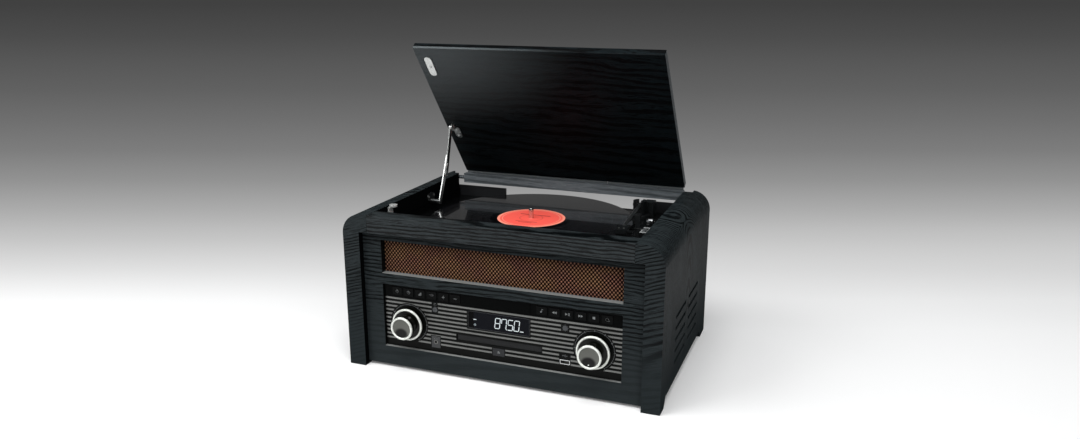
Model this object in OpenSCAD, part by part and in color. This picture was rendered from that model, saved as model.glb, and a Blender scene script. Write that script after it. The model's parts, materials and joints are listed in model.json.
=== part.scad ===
// Stereo music centre: a wooden record deck with a disc slot, a tuner panel and a lid that stands open.
// X runs to the right, Y to the back and Z up. The origin lies on the floor, midway between the boards' ends.

/* [Cabinet] */
// Width across the two side boards
cabinet_w = 450; // [440:1:470]
// Depth of the side boards
cabinet_d = 302; // [300:1:316]
// Height of the top above the floor
cabinet_h = 222; // [220:1:234]
// Thickness of the side boards and of the top
board_t = 25; // [23:0.5:26]
// Radius of the two rounded top corners
corner_r = 28; // [26.5:0.5:34]
// Width of the top on each side of the opening over the record deck
top_side = 38; // [35:0.5:40]
// Depth of the top strip in front of the opening
front_strip = 26.5; // [24:0.5:28]
// Height of the arch between the feet
arch_h = 12.5; // [8:0.5:13.5]
// Length of a front foot
front_foot = 25; // [20:1:40]
// Length of a rear foot
rear_foot = 36; // [20:1:50]
// Run of the arch's slanted ends
arch_slant = 5; // [2:0.5:8]

/* [Side vents] */
// Rows of slots in each side board
vent_rows = 5; // [3:1:6]
// Height of the lowest row above the floor
vent_z = 39; // [34:1:42]
// Distance from row to row
vent_pitch = 16; // [14:0.5:18]
// Length of one slot
vent_l = 66; // [50:1:72]
// Height of one slot
vent_h = 5; // [3:0.5:6]
// Width of the wood between the two slots of a row
vent_web = 18; // [12:1:30]

/* [Baffle] */
// How far the baffle stands behind the front edge of the boards
baffle_recess = 9; // [7:0.5:10]
// Thickness of the baffle
baffle_t = 10; // [9:0.5:12]
// Gap between the floor and the baffle
baffle_lift = 4; // [2:0.5:6]
// Width of the loudspeaker opening
grille_w = 343; // [320:1:350]
// Height of the wood between the top and the loudspeaker opening
grille_drop = 10.5; // [9:0.5:12]
// Height of the wood between the loudspeaker opening and the control panel
grille_gap = 16; // [14:0.5:18]
// Thickness of the cloth panel
cloth_t = 1.5; // [1:0.25:2]
// Radius of a loudspeaker's front flange
speaker_r = 20; // [16:0.5:21]
// Distance between the two loudspeakers
speaker_span = 236; // [180:1:260]
// Depth of a loudspeaker
speaker_depth = 26; // [20:1:32]

/* [Control panel] */
// Width of the control panel
panel_w = 343; // [341:1:350]
// Height of the control panel
panel_h = 91.5; // [91:0.5:94]
// Height of the panel's middle above the floor
panel_z = 77.75; // [77.25:0.25:78.5]
// Depth of the panel's face behind the baffle's face
panel_recess = 4.5; // [4:0.25:6]
// Thickness of the panel
panel_t = 4; // [3:0.25:4.5]
// Play round a piece that sits in the panel
panel_play = 0.3; // [0.2:0.05:0.4]
// Number of raised stripes
stripe_n = 11; // [8:1:11]
// Distance from stripe to stripe
stripe_pitch = 5.9; // [5.4:0.1:6]
// Height of one stripe
stripe_h = 2.5; // [2:0.1:4]
// How far a stripe stands out
stripe_relief = 0.6; // [0.3:0.1:1]
// Distance from the panel's top edge to the first stripe's middle
stripe_top = 20.3; // [20:0.1:21]

/* [Keys] */
// Keys in each of the two rows
keys_per_side = 6; // [4:1:6]
// Distance from key to key
key_pitch = 17.7; // [17.2:0.1:18]
// Width of one key
key_w = 14.6; // [12:0.1:15]
// Height of one key
key_h = 11.4; // [9:0.1:12]
// Distance from the panel's end to the last key's middle
key_inset = 20.8; // [19:0.1:23]
// Height of the glossy strip round the keys
strip_h = 17.2; // [15:0.1:17.6]
// How far a key stands out of the strip
key_relief = 0.9; // [0.5:0.1:2]
// Travel of a key
key_travel = 1.2; // [0.8:0.1:1.4]
// Gap between the first key and the plain plate in the strip's middle
plate_gap = 8.9; // [5:0.1:15]

/* [Display] */
// Width of the display window
display_w = 90; // [70:1:92]
// Height of the display window
display_h = 25.5; // [20:0.5:26]
// Thickness of the display window
display_t = 2.2; // [1.5:0.1:3]

/* [Knobs] */
// Distance from a knob's axis to the panel's end
knob_inset = 37.5; // [36:0.5:41]
// Height of the knobs' axes above the panel's middle
knob_rise = -8.5; // [-9.5:0.25:-7.5]
// Radius of a knob's base ring
knob_r = 22.8; // [20:0.1:24]
// Radius of a knob's front ring
knob_front_r = 16.4; // [14:0.1:18]
// How far a knob stands out of the panel
knob_l = 24.5; // [20:0.5:30]
// Thickness of the two bright rings
ring_t = 3.2; // [2:0.1:3.6]
// Depth of a bright ring
ring_l = 2.6; // [2:0.1:4]
// Depth of a knob's base with its ring
base_l = 9; // [6:0.5:12]
// Radius of the plain disc round a knob
dial_r = 29; // [26:0.5:30]
// Radius of a knob's shaft
shaft_r = 3; // [2:0.25:4]

/* [Disc slot and sockets] */
// Width of the disc slot
slot_w = 123; // [121:1:128]
// Height of the disc slot
slot_h = 9.5; // [7:0.5:10]
// Height of the slot's middle above the panel's middle
slot_rise = -18.8; // [-19.5:0.1:-18]
// Width of the eject key
eject_w = 17; // [10:0.5:18]
// Height of the eject key
eject_h = 10.5; // [8:0.5:11]
// Height of the eject key's middle above the panel's middle
eject_rise = -32; // [-33:0.5:-31.5]
// Distance from the middle to the socket on each side
socket_x = 94; // [90:0.5:95]
// Height of the sockets' middle above the panel's middle
socket_rise = -31; // [-32:0.5:-30]
// Bore radius of the headphone socket
jack_r = 1.8; // [1.75:0.05:2]
// Width of the headphone socket's plate
jack_plate_w = 13; // [10:0.5:14]
// Height of the headphone socket's plate
jack_plate_h = 17; // [12:0.5:18]
// Width of the data socket's frame
usb_w = 13.6; // [13.2:0.1:14.4]
// Height of the data socket's frame
usb_h = 6.4; // [6:0.1:7]
// Radius of the indicator lens over each socket
lens_r = 3.6; // [2:0.1:4]
// Height of the indicator lenses above the panel's middle
lens_rise = 16.5; // [15:0.5:17]

/* [Record deck] */
// Depth of the deck's upper face below the cabinet's top
deck_drop = 38; // [36:0.5:42]
// Thickness of the deck
deck_t = 4; // [3:0.5:5]
// Offset of the spindle from the cabinet's middle, to the right
spindle_x = -14; // [-20:1:-10]
// Offset of the spindle from the boards' middle, to the back
spindle_y = 21; // [20:1:24]
// Radius of the record
record_r = 150; // [146:0.5:151]
// Thickness of the record
record_t = 1.8; // [1.2:0.1:2.2]
// Radius of the record's label
label_r = 50; // [48:0.5:51]
// Height of the platter's upper face above the deck
platter_rise = 5.5; // [4.5:0.25:7]
// Radius of the platter
platter_r = 98; // [90:1:110]
// Radius of the spindle
spindle_r = 3.55; // [3.5:0.05:3.6]
// Height of the spindle above the record
spindle_rise = 14; // [10:0.5:15]
// Depth of the well for the belt under the platter
well_depth = 12; // [10:0.5:16]
// Radius of the ring that the belt runs on
drive_ring_r = 70; // [60:1:76]
// Radius of the motor's pulley
pulley_r = 5.7; // [4:0.1:8]
// Play between the belt and what it runs on
belt_play = 0.35; // [0.3:0.05:0.5]
// Height of the belt
belt_h = 4; // [3:0.5:5]
// Play of a shaft in its bearing
bearing_play = 0.05; // [0.03:0.01:0.08]

/* [Tonearm] */
// Offset of the tonearm's pivot from the spindle, to the right
arm_dx = 142; // [138:1:144]
// Offset of the tonearm's pivot from the spindle, to the back
arm_dy = 86; // [80:1:88]
// Distance from the pivot to the stylus
arm_l = 144; // [142:1:148]
// Slant of the parked arm away from straight ahead, in degrees
arm_park = 4; // [2:0.5:6]
// Height of the arm tube above the deck
arm_rise = 20; // [19:0.25:21]
// Radius of the arm tube
tube_r = 2.4; // [1.5:0.1:3]
// Radius of the pivot drum
drum_r = 10.5; // [9:0.5:12]
// Lift of the parked stylus above the record
stylus_lift = 3; // [2:0.5:4]

/* [Lid] */
// Thickness of the lid
lid_t = 10; // [8:0.5:14]
// Angle that the lid stands open
lid_open = 51.2; // [45:0.2:60]
// Gap between the lid and the opening's left edge
lid_gap_left = 9; // [8:0.5:10]
// Gap between the lid and the opening's right edge
lid_gap_right = 1; // [0.5:0.5:4]
// Gap between the closed lid and the opening's front edge
lid_gap_front = 1; // [0.5:0.5:3]
// Height of the closed lid above the cabinet's top
lid_lift = 1; // [0.8:0.1:2]
// Distance from the boards' rear ends to the rail's rear face
rail_inset = 3.5; // [3:0.5:6]
// Thickness of the hinge rail
rail_t = 9.5; // [8:0.5:12]
// Height of the hinge rail
rail_h = 15; // [12:0.5:16]
// Radius of the pins that hold the rail between the boards
rail_pin_r = 3; // [2:0.25:4]
// Number of hinges in the row along the lid
hinge_n = 3; // [2:1:5]
// Gap between neighbouring hinges
hinge_gap = 1.5; // [1:0.5:12]
// Radius of a hinge knuckle
knuckle_r = 2.4; // [2:0.1:2.8]
// Radius of a hinge pin
hinge_pin_r = 1.2; // [0.8:0.1:1.3]
// Length of the oval plate on the lid
strike_l = 36; // [30:1:40]
// Width of the oval plate on the lid
strike_w = 11; // [8:0.5:12]
// Distance from the lid's rear edge to the oval plate's middle
strike_reach = 236.5; // [220:1:240]

/* [Stay] */
// Distance from the lid's rear edge to the stay's upper pivot
lug_reach = 111; // [108:1:116]
// Drop of the upper pivot below the lid
lug_drop = 5; // [4.5:0.25:6]
// Height of the stay's lower pivot above the deck
foot_pivot_rise = 15; // [13:0.5:16]
// Distance from the opening's left edge to the gap between the two bars
stay_inset = 17.4; // [16:0.2:20]
// Width of a stay bar
bar_w = 8; // [6:0.5:9]
// Thickness of a stay bar
bar_t = 1.6; // [1.2:0.1:2]
// Length of a bar past the elbow
bar_tail = 14; // [8:1:18]
// Slack of the straightened stay, as a share of its reach
stay_slack = 1.003; // [1.002:0.001:1.01]
// Play between neighbouring stay pieces
stay_play = 0.4; // [0.3:0.05:0.6]

/* [Hidden] */
$fn = 72;

// Small amount that lets a cutter run past the face it opens
past = 1;

// Cabinet
half_w = cabinet_w / 2;
front_y = -cabinet_d / 2;
back_y = cabinet_d / 2;
inner_x = half_w - board_t;
open_x = half_w - top_side;
rim_x = open_x + 1;
open_front_y = front_y + front_strip;
under_top_z = cabinet_h - board_t;
baffle_y = front_y + baffle_recess;
baffle_back_y = baffle_y + baffle_t;
cloth_back_y = baffle_back_y + cloth_t;
cloth_lap = 2;
vent_mid_y = 2;
back_t = 6;
back_inset = 2;
back_y0 = back_y - back_inset - back_t;
deck_z = cabinet_h - deck_drop;
back_top_z = deck_z + 16;
floor_t = 6;
floor_z = arch_h + 1.5;

// Control panel
face_y = baffle_y + panel_recess;
face_back_y = face_y + panel_t;
panel_top_z = panel_z + panel_h / 2;
grille_low_z = panel_top_z + grille_gap;
grille_h = under_top_z - grille_drop - grille_low_z;
grille_z = grille_low_z + grille_h / 2;
strip_t = 1.2;
strip_z = panel_top_z - strip_h / 2 - 0.4;
key_front_y = face_y - strip_t - key_relief;
key_back_y = face_back_y + 2.5;
display_z = panel_top_z - 36;
glass_relief = 0.3;
knob_z = panel_z + knob_rise;
knob_x = panel_w / 2 - knob_inset;
slot_z = panel_z + slot_rise;
eject_z = panel_z + eject_rise;
socket_z = panel_z + socket_rise;
lens_z = panel_z + lens_rise;
patch_margin = 1.2;
usb_sign_rise = 2.5;
usb_sign_h = 11;
lens_sign_rise = 2.75;
lens_sign_h = 8.4;
knob_gap = 0.5;
encoder_r = shaft_r + 2.5;
encoder_l = 9;
encoder_w = 18;
encoder_t = 8;
mechanism_h = 34;
mechanism_l = 150;
flap_t = 1.6;
flap_pin_r = 1;
flap_at = [face_y + 2, slot_z + slot_h / 2 - 1.4];
flap_pin_l = 1.5;

// Sockets
usb_open_w = 12;
usb_open_h = 4.6;
usb_l = 14;
jack_plate_relief = 0.4;
jack_l = 14;
rear_plate_z = 60;
rear_plate_t = 1.5;
rear_plate_lap = 4;
rca_x = -110;
rca_pitch = 14;
rca_body_w = 32;
rca_body_h = 16;
rca_body_l = 10;
rca_r = 4.15;
rca_bore_r = 1.7;
rca_l = 8;
rca_bore_l = 15;
inlet_x = 120;
inlet_body_w = 22;
inlet_body_h = 14;
inlet_body_l = 14;
inlet_depth = 12;
inlet_open_w = 17;
inlet_open_h = 9;
inlet_pin_x = 4;
inlet_pin_l = 9;

// Record deck
platter_z = deck_z + platter_rise;
record_z = platter_z;
record_top_z = record_z + record_t;
well_r = platter_r + 3;
well_wall = 3;
well_floor_z = deck_z - well_depth;
motor_reach = drive_ring_r + pulley_r + 12.3;
motor_x = spindle_x - motor_reach * cos(45);
motor_y = spindle_y - motor_reach * sin(45);
bearing_r = 4;
bearing_l = 16;
bearing_wall = 5;
motor_hole_r = 5;
drive_z = well_floor_z + 3;
belt_t = 1;

// Tonearm
arm_x = spindle_x + arm_dx;
arm_y = spindle_y + arm_dy;
tube_z = deck_z + arm_rise;
stylus_z = record_top_z + stylus_lift;
drum_top_z = tube_z + 6;
plinth_h = 6;
drum_gap = 0.4;
pivot_r = 4;
tube_end = arm_l - 20;
head_l = 26;
head_w = 15;
cue_dx = 28;
cue_dy = -48;
cue_at = [arm_x + cue_dx, arm_y + cue_dy];
cue_rise = 9;
cue_half_w = 6;
cue_pin_r = 1.5;
play_side = 0.5;
speed_dx = 30;
speed_dy = -87;
speed_at = [arm_x + speed_dx, arm_y + speed_dy];
speed_w = 3.4;
speed_l = 8;
speed_h = 6;
speed_travel = 10;
housing_w = 12;
housing_l = 30;

// Lid, drawn closed and then turned about the hinge
lid_x0 = -open_x + lid_gap_left;
lid_x1 = open_x - lid_gap_right;
rail_back_y = back_y - rail_inset;
rail_front_y = rail_back_y - rail_t;
lid_z = cabinet_h + lid_lift;
lid_front_y = open_front_y + lid_gap_front;
leaf_t = 1.2;
hinge_y = rail_back_y + knuckle_r + 0.3;
hinge_z = cabinet_h + lid_lift / 2;
hinge_pitch = (lid_x1 - lid_x0 - 2 * hinge_gap) / hinge_n;
hinge_l = hinge_pitch - hinge_gap;
strike_x = lid_x0 + 17.5;
strike_y = rail_back_y - strike_reach;

// Stay: both bars are as long as the open lid asks for
function turned(p, a) = [p[0] * cos(a) + p[1] * sin(a), p[1] * cos(a) - p[0] * sin(a)];
hinge_at = [hinge_y, hinge_z];
lug_closed = [rail_back_y - lug_reach, lid_z - lug_drop];
lug_open = hinge_at + turned(lug_closed - hinge_at, lid_open);
foot_pivot = [lug_closed[0] - 0.5, deck_z + foot_pivot_rise];
reach = norm(lug_open - foot_pivot);
bar_l = reach * stay_slack / 2;
along = (lug_open - foot_pivot) / reach;
bulge = sqrt(bar_l * bar_l - reach * reach / 4);
elbow = (lug_open + foot_pivot) / 2 + bulge * [along[1], -along[0]];
stay_x = -open_x + stay_inset;
lower_bar_x = stay_x - stay_play / 2 - bar_t;
upper_bar_x = stay_x + stay_play / 2;
bar_pin_r = 2;

// Places its children where the open lid carries them
module on_lid() {
  translate([0, hinge_y, hinge_z]) rotate([-lid_open, 0, 0]) translate([0, -hinge_y, -hinge_z]) children();
}

// A block given by two opposite corners
module block(low, high) {
  translate(low) cube(high - low);
}

// A round bar that runs to the back from a point
module rod_back(x, y, z, r, l) {
  translate([x, y, z]) rotate([-90, 0, 0]) cylinder(r = r, h = l);
}

// A round bar that runs to the right from a point
module rod_right(x, y, z, r, l) {
  translate([x, y, z]) rotate([0, 90, 0]) cylinder(r = r, h = l);
}

// A flat outline with round ends, long side along the first axis
module stadium(l, w) {
  square([l - w, w], center = true);
  for (s = [-1, 1]) translate([s * (l - w) / 2, 0]) circle(d = w);
}

// Front view of the right side board with its rounded corner and the strip beside the opening
module side_outline() {
  corner_x = half_w - corner_r;
  corner_z = cabinet_h - corner_r;
  difference() {
    union() {
      translate([open_x, 0]) square([half_w - open_x, corner_z]);
      translate([open_x, 0]) square([corner_x - open_x, cabinet_h]);
      translate([corner_x, corner_z]) intersection() {
        circle(r = corner_r);
        square(corner_r);
      }
    }
    translate([open_x - past, -past]) square([inner_x - open_x + past, under_top_z + past]);
  }
}

// Side view of the arch between the feet
module arch_outline() {
  foot_front = front_y + front_foot;
  foot_back = back_y - rear_foot;
  polygon([
    [foot_front - arch_slant, -past], [foot_front + arch_slant, arch_h],
    [foot_back - arch_slant, arch_h], [foot_back + arch_slant, -past]
  ]);
}

module side_board() {
  difference() {
    union() {
      translate([0, back_y, 0]) rotate([90, 0, 0]) linear_extrude(cabinet_d) side_outline();
      block([rim_x, cloth_back_y + 0.5, deck_z], [inner_x + past, back_y0, under_top_z + past]);
    }
    translate([inner_x - past, 0, 0]) rotate([90, 0, 90]) linear_extrude(board_t + 2 * past) arch_outline();
    for (row = [0 : vent_rows - 1], s = [-1, 1])
      translate([half_w - board_t / 2, vent_mid_y + s * (vent_web + vent_l) / 2, vent_z + row * vent_pitch])
        cube([board_t + 2 * past, vent_l, vent_h], center = true);
    block([open_x - past, rail_front_y, under_top_z - past], [inner_x, back_y + past, cabinet_h + past]);
    rod_right(open_x, rail_back_y - rail_t / 2, cabinet_h - rail_h / 2, rail_pin_r + bearing_play, board_t);
  }
}

module right_side() {
  color("#2b2f32") side_board();
}

module left_side() {
  color("#2b2f32") mirror([1, 0, 0]) side_board();
}

module front_top_rail() {
  color("#2b2f32") block([-open_x, front_y, under_top_z], [open_x, open_front_y, cabinet_h]);
}

// The front board under the top rail, open for the cloth and the control panel
module front_baffle() {
  color("#2b2f32") difference() {
    block([-inner_x, baffle_y, baffle_lift], [inner_x, baffle_back_y, under_top_z]);
    translate([0, baffle_y + baffle_t / 2, grille_z])
      cube([grille_w, baffle_t + 2 * past, grille_h], center = true);
    translate([0, baffle_y + baffle_t / 2, panel_z])
      cube([panel_w, baffle_t + 2 * past, panel_h], center = true);
  }
}

module grille_cloth() {
  color("#5a4632") translate([0, baffle_back_y + cloth_t / 2, grille_z])
    cube([grille_w + 2 * cloth_lap, cloth_t, grille_h + 2 * cloth_lap], center = true);
}

// Both loudspeakers: a flange, a cone-shaped basket and a magnet
module speakers() {
  magnet_l = speaker_depth * 0.35;
  basket_l = speaker_depth - magnet_l - 2;
  speaker_z = deck_z - deck_t - 3 - speaker_r;
  color("#202020") for (s = [-1, 1]) translate([s * speaker_span / 2, cloth_back_y, speaker_z])
    rotate([-90, 0, 0]) {
      cylinder(r = speaker_r, h = 2);
      translate([0, 0, 2]) cylinder(r1 = speaker_r * 0.9, r2 = speaker_r * 0.6, h = basket_l);
      translate([0, 0, 2 + basket_l]) cylinder(r = speaker_r * 0.7, h = magnet_l);
    }
}

// Rear board with the notch that a record reaches through
module back_panel() {
  notch_x0 = spindle_x - 0.62 * record_r;
  notch_x1 = arm_x - 8;
  color("#17181a") difference() {
    block([-inner_x, back_y0, floor_z - 1], [inner_x, back_y0 + back_t, back_top_z]);
    block([notch_x0, back_y0 - past, deck_z + 0.5], [notch_x1, back_y0 + back_t + past, back_top_z + past]);
    translate([0, back_y0 + back_t / 2, rear_plate_z]) {
      translate([rca_x, 0, 0]) cube([rca_body_w, back_t + 2 * past, rca_body_h], center = true);
      translate([inlet_x, 0, 0]) cube([inlet_body_w, back_t + 2 * past, inlet_body_h], center = true);
    }
  }
}

// Line sockets and the two-pin mains inlet, each a body through the rear board with a lip outside
module rear_sockets() {
  out_y = back_y0 + back_t;
  color("#101010") {
    difference() {
      union() {
        translate([rca_x, out_y - rca_body_l, rear_plate_z]) rear_body(rca_body_w, rca_body_h, rca_body_l);
        for (s = [-1, 1]) rod_back(rca_x + s * rca_pitch / 2, out_y, rear_plate_z, rca_r, rca_l);
      }
      for (s = [-1, 1])
        rod_back(
          rca_x + s * rca_pitch / 2, out_y + rca_l + past - rca_bore_l, rear_plate_z, rca_bore_r, rca_bore_l
        );
    }
    difference() {
      translate([inlet_x, out_y - inlet_body_l, rear_plate_z])
        rear_body(inlet_body_w, inlet_body_h, inlet_body_l);
      translate([inlet_x, out_y + rear_plate_t + past, rear_plate_z]) rotate([90, 0, 0])
        linear_extrude(inlet_depth + past) stadium(inlet_open_w, inlet_open_h);
    }
    for (s = [-1, 1])
      rod_back(inlet_x + s * inlet_pin_x, out_y + rear_plate_t - inlet_depth, rear_plate_z, 1.2, inlet_pin_l);
  }
}

module rear_body(w, h, l) {
  play = 0.1;
  translate([-w / 2 + play, 0, -h / 2 + play]) cube([w - 2 * play, l, h - 2 * play]);
  translate([-w / 2 - rear_plate_lap, l, -h / 2 - rear_plate_lap])
    cube([w + 2 * rear_plate_lap, rear_plate_t, h + 2 * rear_plate_lap]);
}

module bottom_panel() {
  color("#17181a") block([-inner_x, baffle_back_y, floor_z], [inner_x, back_y0, floor_z + floor_t]);
}

// Cutter through the panel for a rectangular piece
module panel_cut(x, z, w, h) {
  translate([x, (face_y + face_back_y) / 2, z]) cube([w, panel_t + 4 * past, h], center = true);
}

// Middle of key number i of the row on side s
function key_x(s, i) = s * (panel_w / 2 - key_inset - (keys_per_side - i) * key_pitch);

module key_holes() {
  for (s = [-1, 1], i = [1 : keys_per_side])
    panel_cut(key_x(s, i), strip_z, key_w + 2 * panel_play, key_h + 2 * panel_play);
}

module fascia() {
  bore_l = slot_w + 2 * flap_pin_l + 0.2;
  color("#0d0d0e") difference() {
    translate([0, (face_y + face_back_y) / 2, panel_z]) cube([panel_w, panel_t, panel_h], center = true);
    rod_right(-bore_l / 2, flap_at[0], flap_at[1], flap_pin_r + bearing_play, bore_l);
    key_holes();
    panel_cut(0, display_z, display_w, display_h);
    panel_cut(0, slot_z, slot_w, slot_h);
    panel_cut(0, eject_z, eject_w + 2 * panel_play, eject_h + 2 * panel_play);
    panel_cut(-socket_x, socket_z, jack_plate_w, jack_plate_h);
    panel_cut(socket_x, socket_z, usb_w, usb_h);
    for (s = [-1, 1]) {
      rod_back(s * knob_x, face_y - past, knob_z, encoder_r, panel_t + 2 * past);
      rod_back(s * socket_x, face_y - past, lens_z, lens_r, panel_t + 2 * past);
    }
  }
}

// Raised metal stripes, broken round everything that stands in their way
module trim_stripes() {
  color("#b7b09b") difference() {
    for (i = [0 : stripe_n - 1])
      translate([0, face_y - stripe_relief / 2, panel_top_z - stripe_top - i * stripe_pitch])
        cube([panel_w - 2, stripe_relief, stripe_h], center = true);
    stripe_gap(0, display_z, display_w, display_h);
    stripe_gap(0, slot_z, slot_w, slot_h);
    stripe_gap(0, eject_z, eject_w, eject_h);
    stripe_gap(-socket_x, socket_z, jack_plate_w, jack_plate_h);
    stripe_gap(socket_x, socket_z + usb_sign_rise, usb_w, usb_h + usb_sign_h);
    stripe_gap(-socket_x, lens_z + lens_sign_rise, 2 * lens_r, 2 * lens_r + lens_sign_h);
    stripe_gap(socket_x, lens_z - 1, 2 * lens_r + 2, 2 * lens_r + 1);
    for (s = [-1, 1])
      rod_back(s * knob_x, face_y - stripe_relief - past, knob_z, dial_r, 2 * past + stripe_relief);
  }
}

module stripe_gap(x, z, w, h) {
  translate([x, face_y, z])
    cube([w + 2 * patch_margin, 2 * stripe_relief + 2 * past, h + 2 * patch_margin], center = true);
}

// Glossy strip round both key rows, with the plain plate in its middle
module key_strip() {
  plate_w = 2 * (key_x(1, 1) - key_w / 2 - plate_gap);
  color("#050506") difference() {
    union() {
      translate([0, face_y - strip_t / 2, strip_z]) cube([panel_w - 1, strip_t, strip_h], center = true);
      translate([0, face_y - strip_t, strip_z]) cube([plate_w, 2 * key_relief, strip_h - 0.6], center = true);
    }
    key_holes();
  }
}

// One push key with the collar that stops it behind the panel
module key_body(x) {
  translate([x, (key_front_y + key_back_y) / 2, strip_z])
    cube([key_w, key_back_y - key_front_y, key_h], center = true);
  translate([x, key_back_y - 1, strip_z]) cube([key_w + 1.6, 1.2, key_h + 1.6], center = true);
}

module panel_key(s, i) {
  color("#141416") key_body(key_x(s, i));
}

module display_window() {
  play = 0.1;
  color("#2a2f38") translate([0, face_y + display_t / 2 - glass_relief, display_z])
    cube([display_w - 2 * play, display_t, display_h - 2 * play], center = true);
}

// Display board behind the window: the lit pane, its block and the flange behind the panel
module display_module() {
  glass_gap = 0.15;
  board_y = face_y + display_t - glass_relief + glass_gap;
  plate_t = 1.6;
  color("#10141a") {
    translate([0, board_y + plate_t / 2, display_z])
      cube([display_w - 4, plate_t, display_h - 2], center = true);
    translate([0, face_back_y + plate_t / 2, display_z])
      cube([display_w + 6, plate_t, display_h + 1], center = true);
    translate([0, (board_y + face_back_y + plate_t) / 2, display_z])
      cube([display_w - 8, face_back_y - board_y, display_h - 6], center = true);
  }
}

// Knob barrel: a waisted turned piece on a round base, with a dished cap and its shaft
module knob_barrel(x) {
  waist_r = knob_front_r - ring_t;
  cap_z = knob_l - 0.8;
  dish_r = 60;
  dish_depth = 2;
  color("#171712") translate([x, face_y - knob_gap, knob_z]) rotate([90, 0, 0]) {
    difference() {
      rotate_extrude() polygon([
        [0, 0], [knob_r - 0.3, 0], [knob_r - 0.3, base_l - ring_l], [knob_r - ring_t, base_l - ring_l],
        [knob_r - ring_t, base_l - 0.6], [waist_r + 1.5, base_l + 0.4], [waist_r, base_l + 3],
        [waist_r, cap_z], [0, cap_z]
      ]);
      translate([0, 0, cap_z - dish_depth + dish_r]) sphere(r = dish_r, $fn = 96);
    }
    translate([0, 0, -panel_t - encoder_l]) cylinder(r = shaft_r, h = panel_t + encoder_l + 1);
  }
}

// The two bright rings of one knob
module knob_rings(x) {
  color("#dcdcd2") translate([x, face_y - knob_gap, knob_z]) rotate([90, 0, 0]) {
    translate([0, 0, base_l - ring_l]) turned_ring(knob_r);
    translate([0, 0, knob_l - ring_l]) turned_ring(knob_front_r);
  }
}

// Ring of an outer radius whose front edge is rounded
module turned_ring(r) {
  straight_l = ring_l - ring_t / 2;
  rotate_extrude() translate([r - ring_t, 0]) intersection() {
    square([ring_t, ring_l]);
    union() {
      square([ring_t, straight_l]);
      translate([ring_t / 2, straight_l]) circle(r = ring_t / 2);
    }
  }
}

module volume_knob() {
  knob_barrel(-knob_x);
}

module volume_rings() {
  knob_rings(-knob_x);
}

module tuning_knob() {
  knob_barrel(knob_x);
}

module tuning_rings() {
  knob_rings(knob_x);
}

// Bushes and switch bodies that the two shafts turn in
module knob_encoders() {
  color("#8a8a86") for (s = [-1, 1]) difference() {
    union() {
      rod_back(s * knob_x, face_y, knob_z, encoder_r, panel_t + 1);
      translate([s * knob_x, face_back_y + 1 + encoder_t / 2, knob_z])
        cube([encoder_w, encoder_t, encoder_w], center = true);
    }
    rod_back(s * knob_x, face_y - past, knob_z, shaft_r + bearing_play, panel_t + encoder_l + 6);
  }
}

// Slot loader behind the panel, open to the front
module cd_mechanism() {
  wall = 3;
  gap = 6;
  y0 = face_back_y + 4.5;
  stand_z = floor_z + floor_t;
  color("#3a3d40") difference() {
    union() {
      translate([-slot_w / 2 - wall, y0, slot_z - mechanism_h / 2])
        cube([slot_w + 2 * wall, mechanism_l, mechanism_h]);
      for (x = [-slot_w / 2 - wall, slot_w / 2])
        translate([x, y0 + 10, stand_z]) cube([wall, mechanism_l - 20, slot_z - stand_z]);
    }
    block(
      [-slot_w / 2, y0 - past, slot_z - gap / 2],
      [slot_w / 2, y0 + mechanism_l - wall, slot_z + gap / 2]
    );
    block([-slot_w / 2, y0 - past, slot_z - slot_h / 2 - 1], [slot_w / 2, y0 + 12, slot_z + slot_h / 2 + 1]);
  }
}

// Dust flap that swings inwards about its upper edge
module cd_flap() {
  color("#1c1d1f") {
    block(
      [-slot_w / 2 + panel_play, flap_at[0] - flap_t / 2, slot_z - slot_h / 2 + panel_play],
      [slot_w / 2 - panel_play, flap_at[0] + flap_t / 2, flap_at[1]]
    );
    rod_right(-slot_w / 2 - flap_pin_l, flap_at[0], flap_at[1], flap_pin_r, slot_w + 2 * flap_pin_l);
  }
}

module eject_key() {
  color("#26282a") {
    translate([0, (face_y - 0.8 + face_back_y + 2.5) / 2, eject_z])
      cube([eject_w, panel_t + 3.3, eject_h], center = true);
    translate([0, face_back_y + 1.5, eject_z]) cube([eject_w + 1.6, 1.2, eject_h + 1.6], center = true);
  }
}

// Headphone socket in its plate on the left and data socket on the right
module front_sockets() {
  color("#8d8f90") {
    difference() {
      translate([-socket_x - jack_plate_w / 2, face_y - jack_plate_relief, socket_z - jack_plate_h / 2])
        cube([jack_plate_w, jack_l, jack_plate_h]);
      rod_back(-socket_x, face_y - past, socket_z, jack_r, jack_l + 2 * past);
    }
    difference() {
      translate([socket_x - usb_w / 2, face_y - 0.6, socket_z - usb_h / 2]) cube([usb_w, usb_l, usb_h]);
      translate([socket_x - usb_open_w / 2, face_y - past, socket_z - usb_open_h / 2])
        cube([usb_open_w, usb_l - 1, usb_open_h]);
    }
  }
}

module indicator_lenses() {
  color("#7c8086") for (s = [-1, 1]) rod_back(s * socket_x, face_y - 0.5, lens_z, lens_r, panel_t);
}

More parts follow.
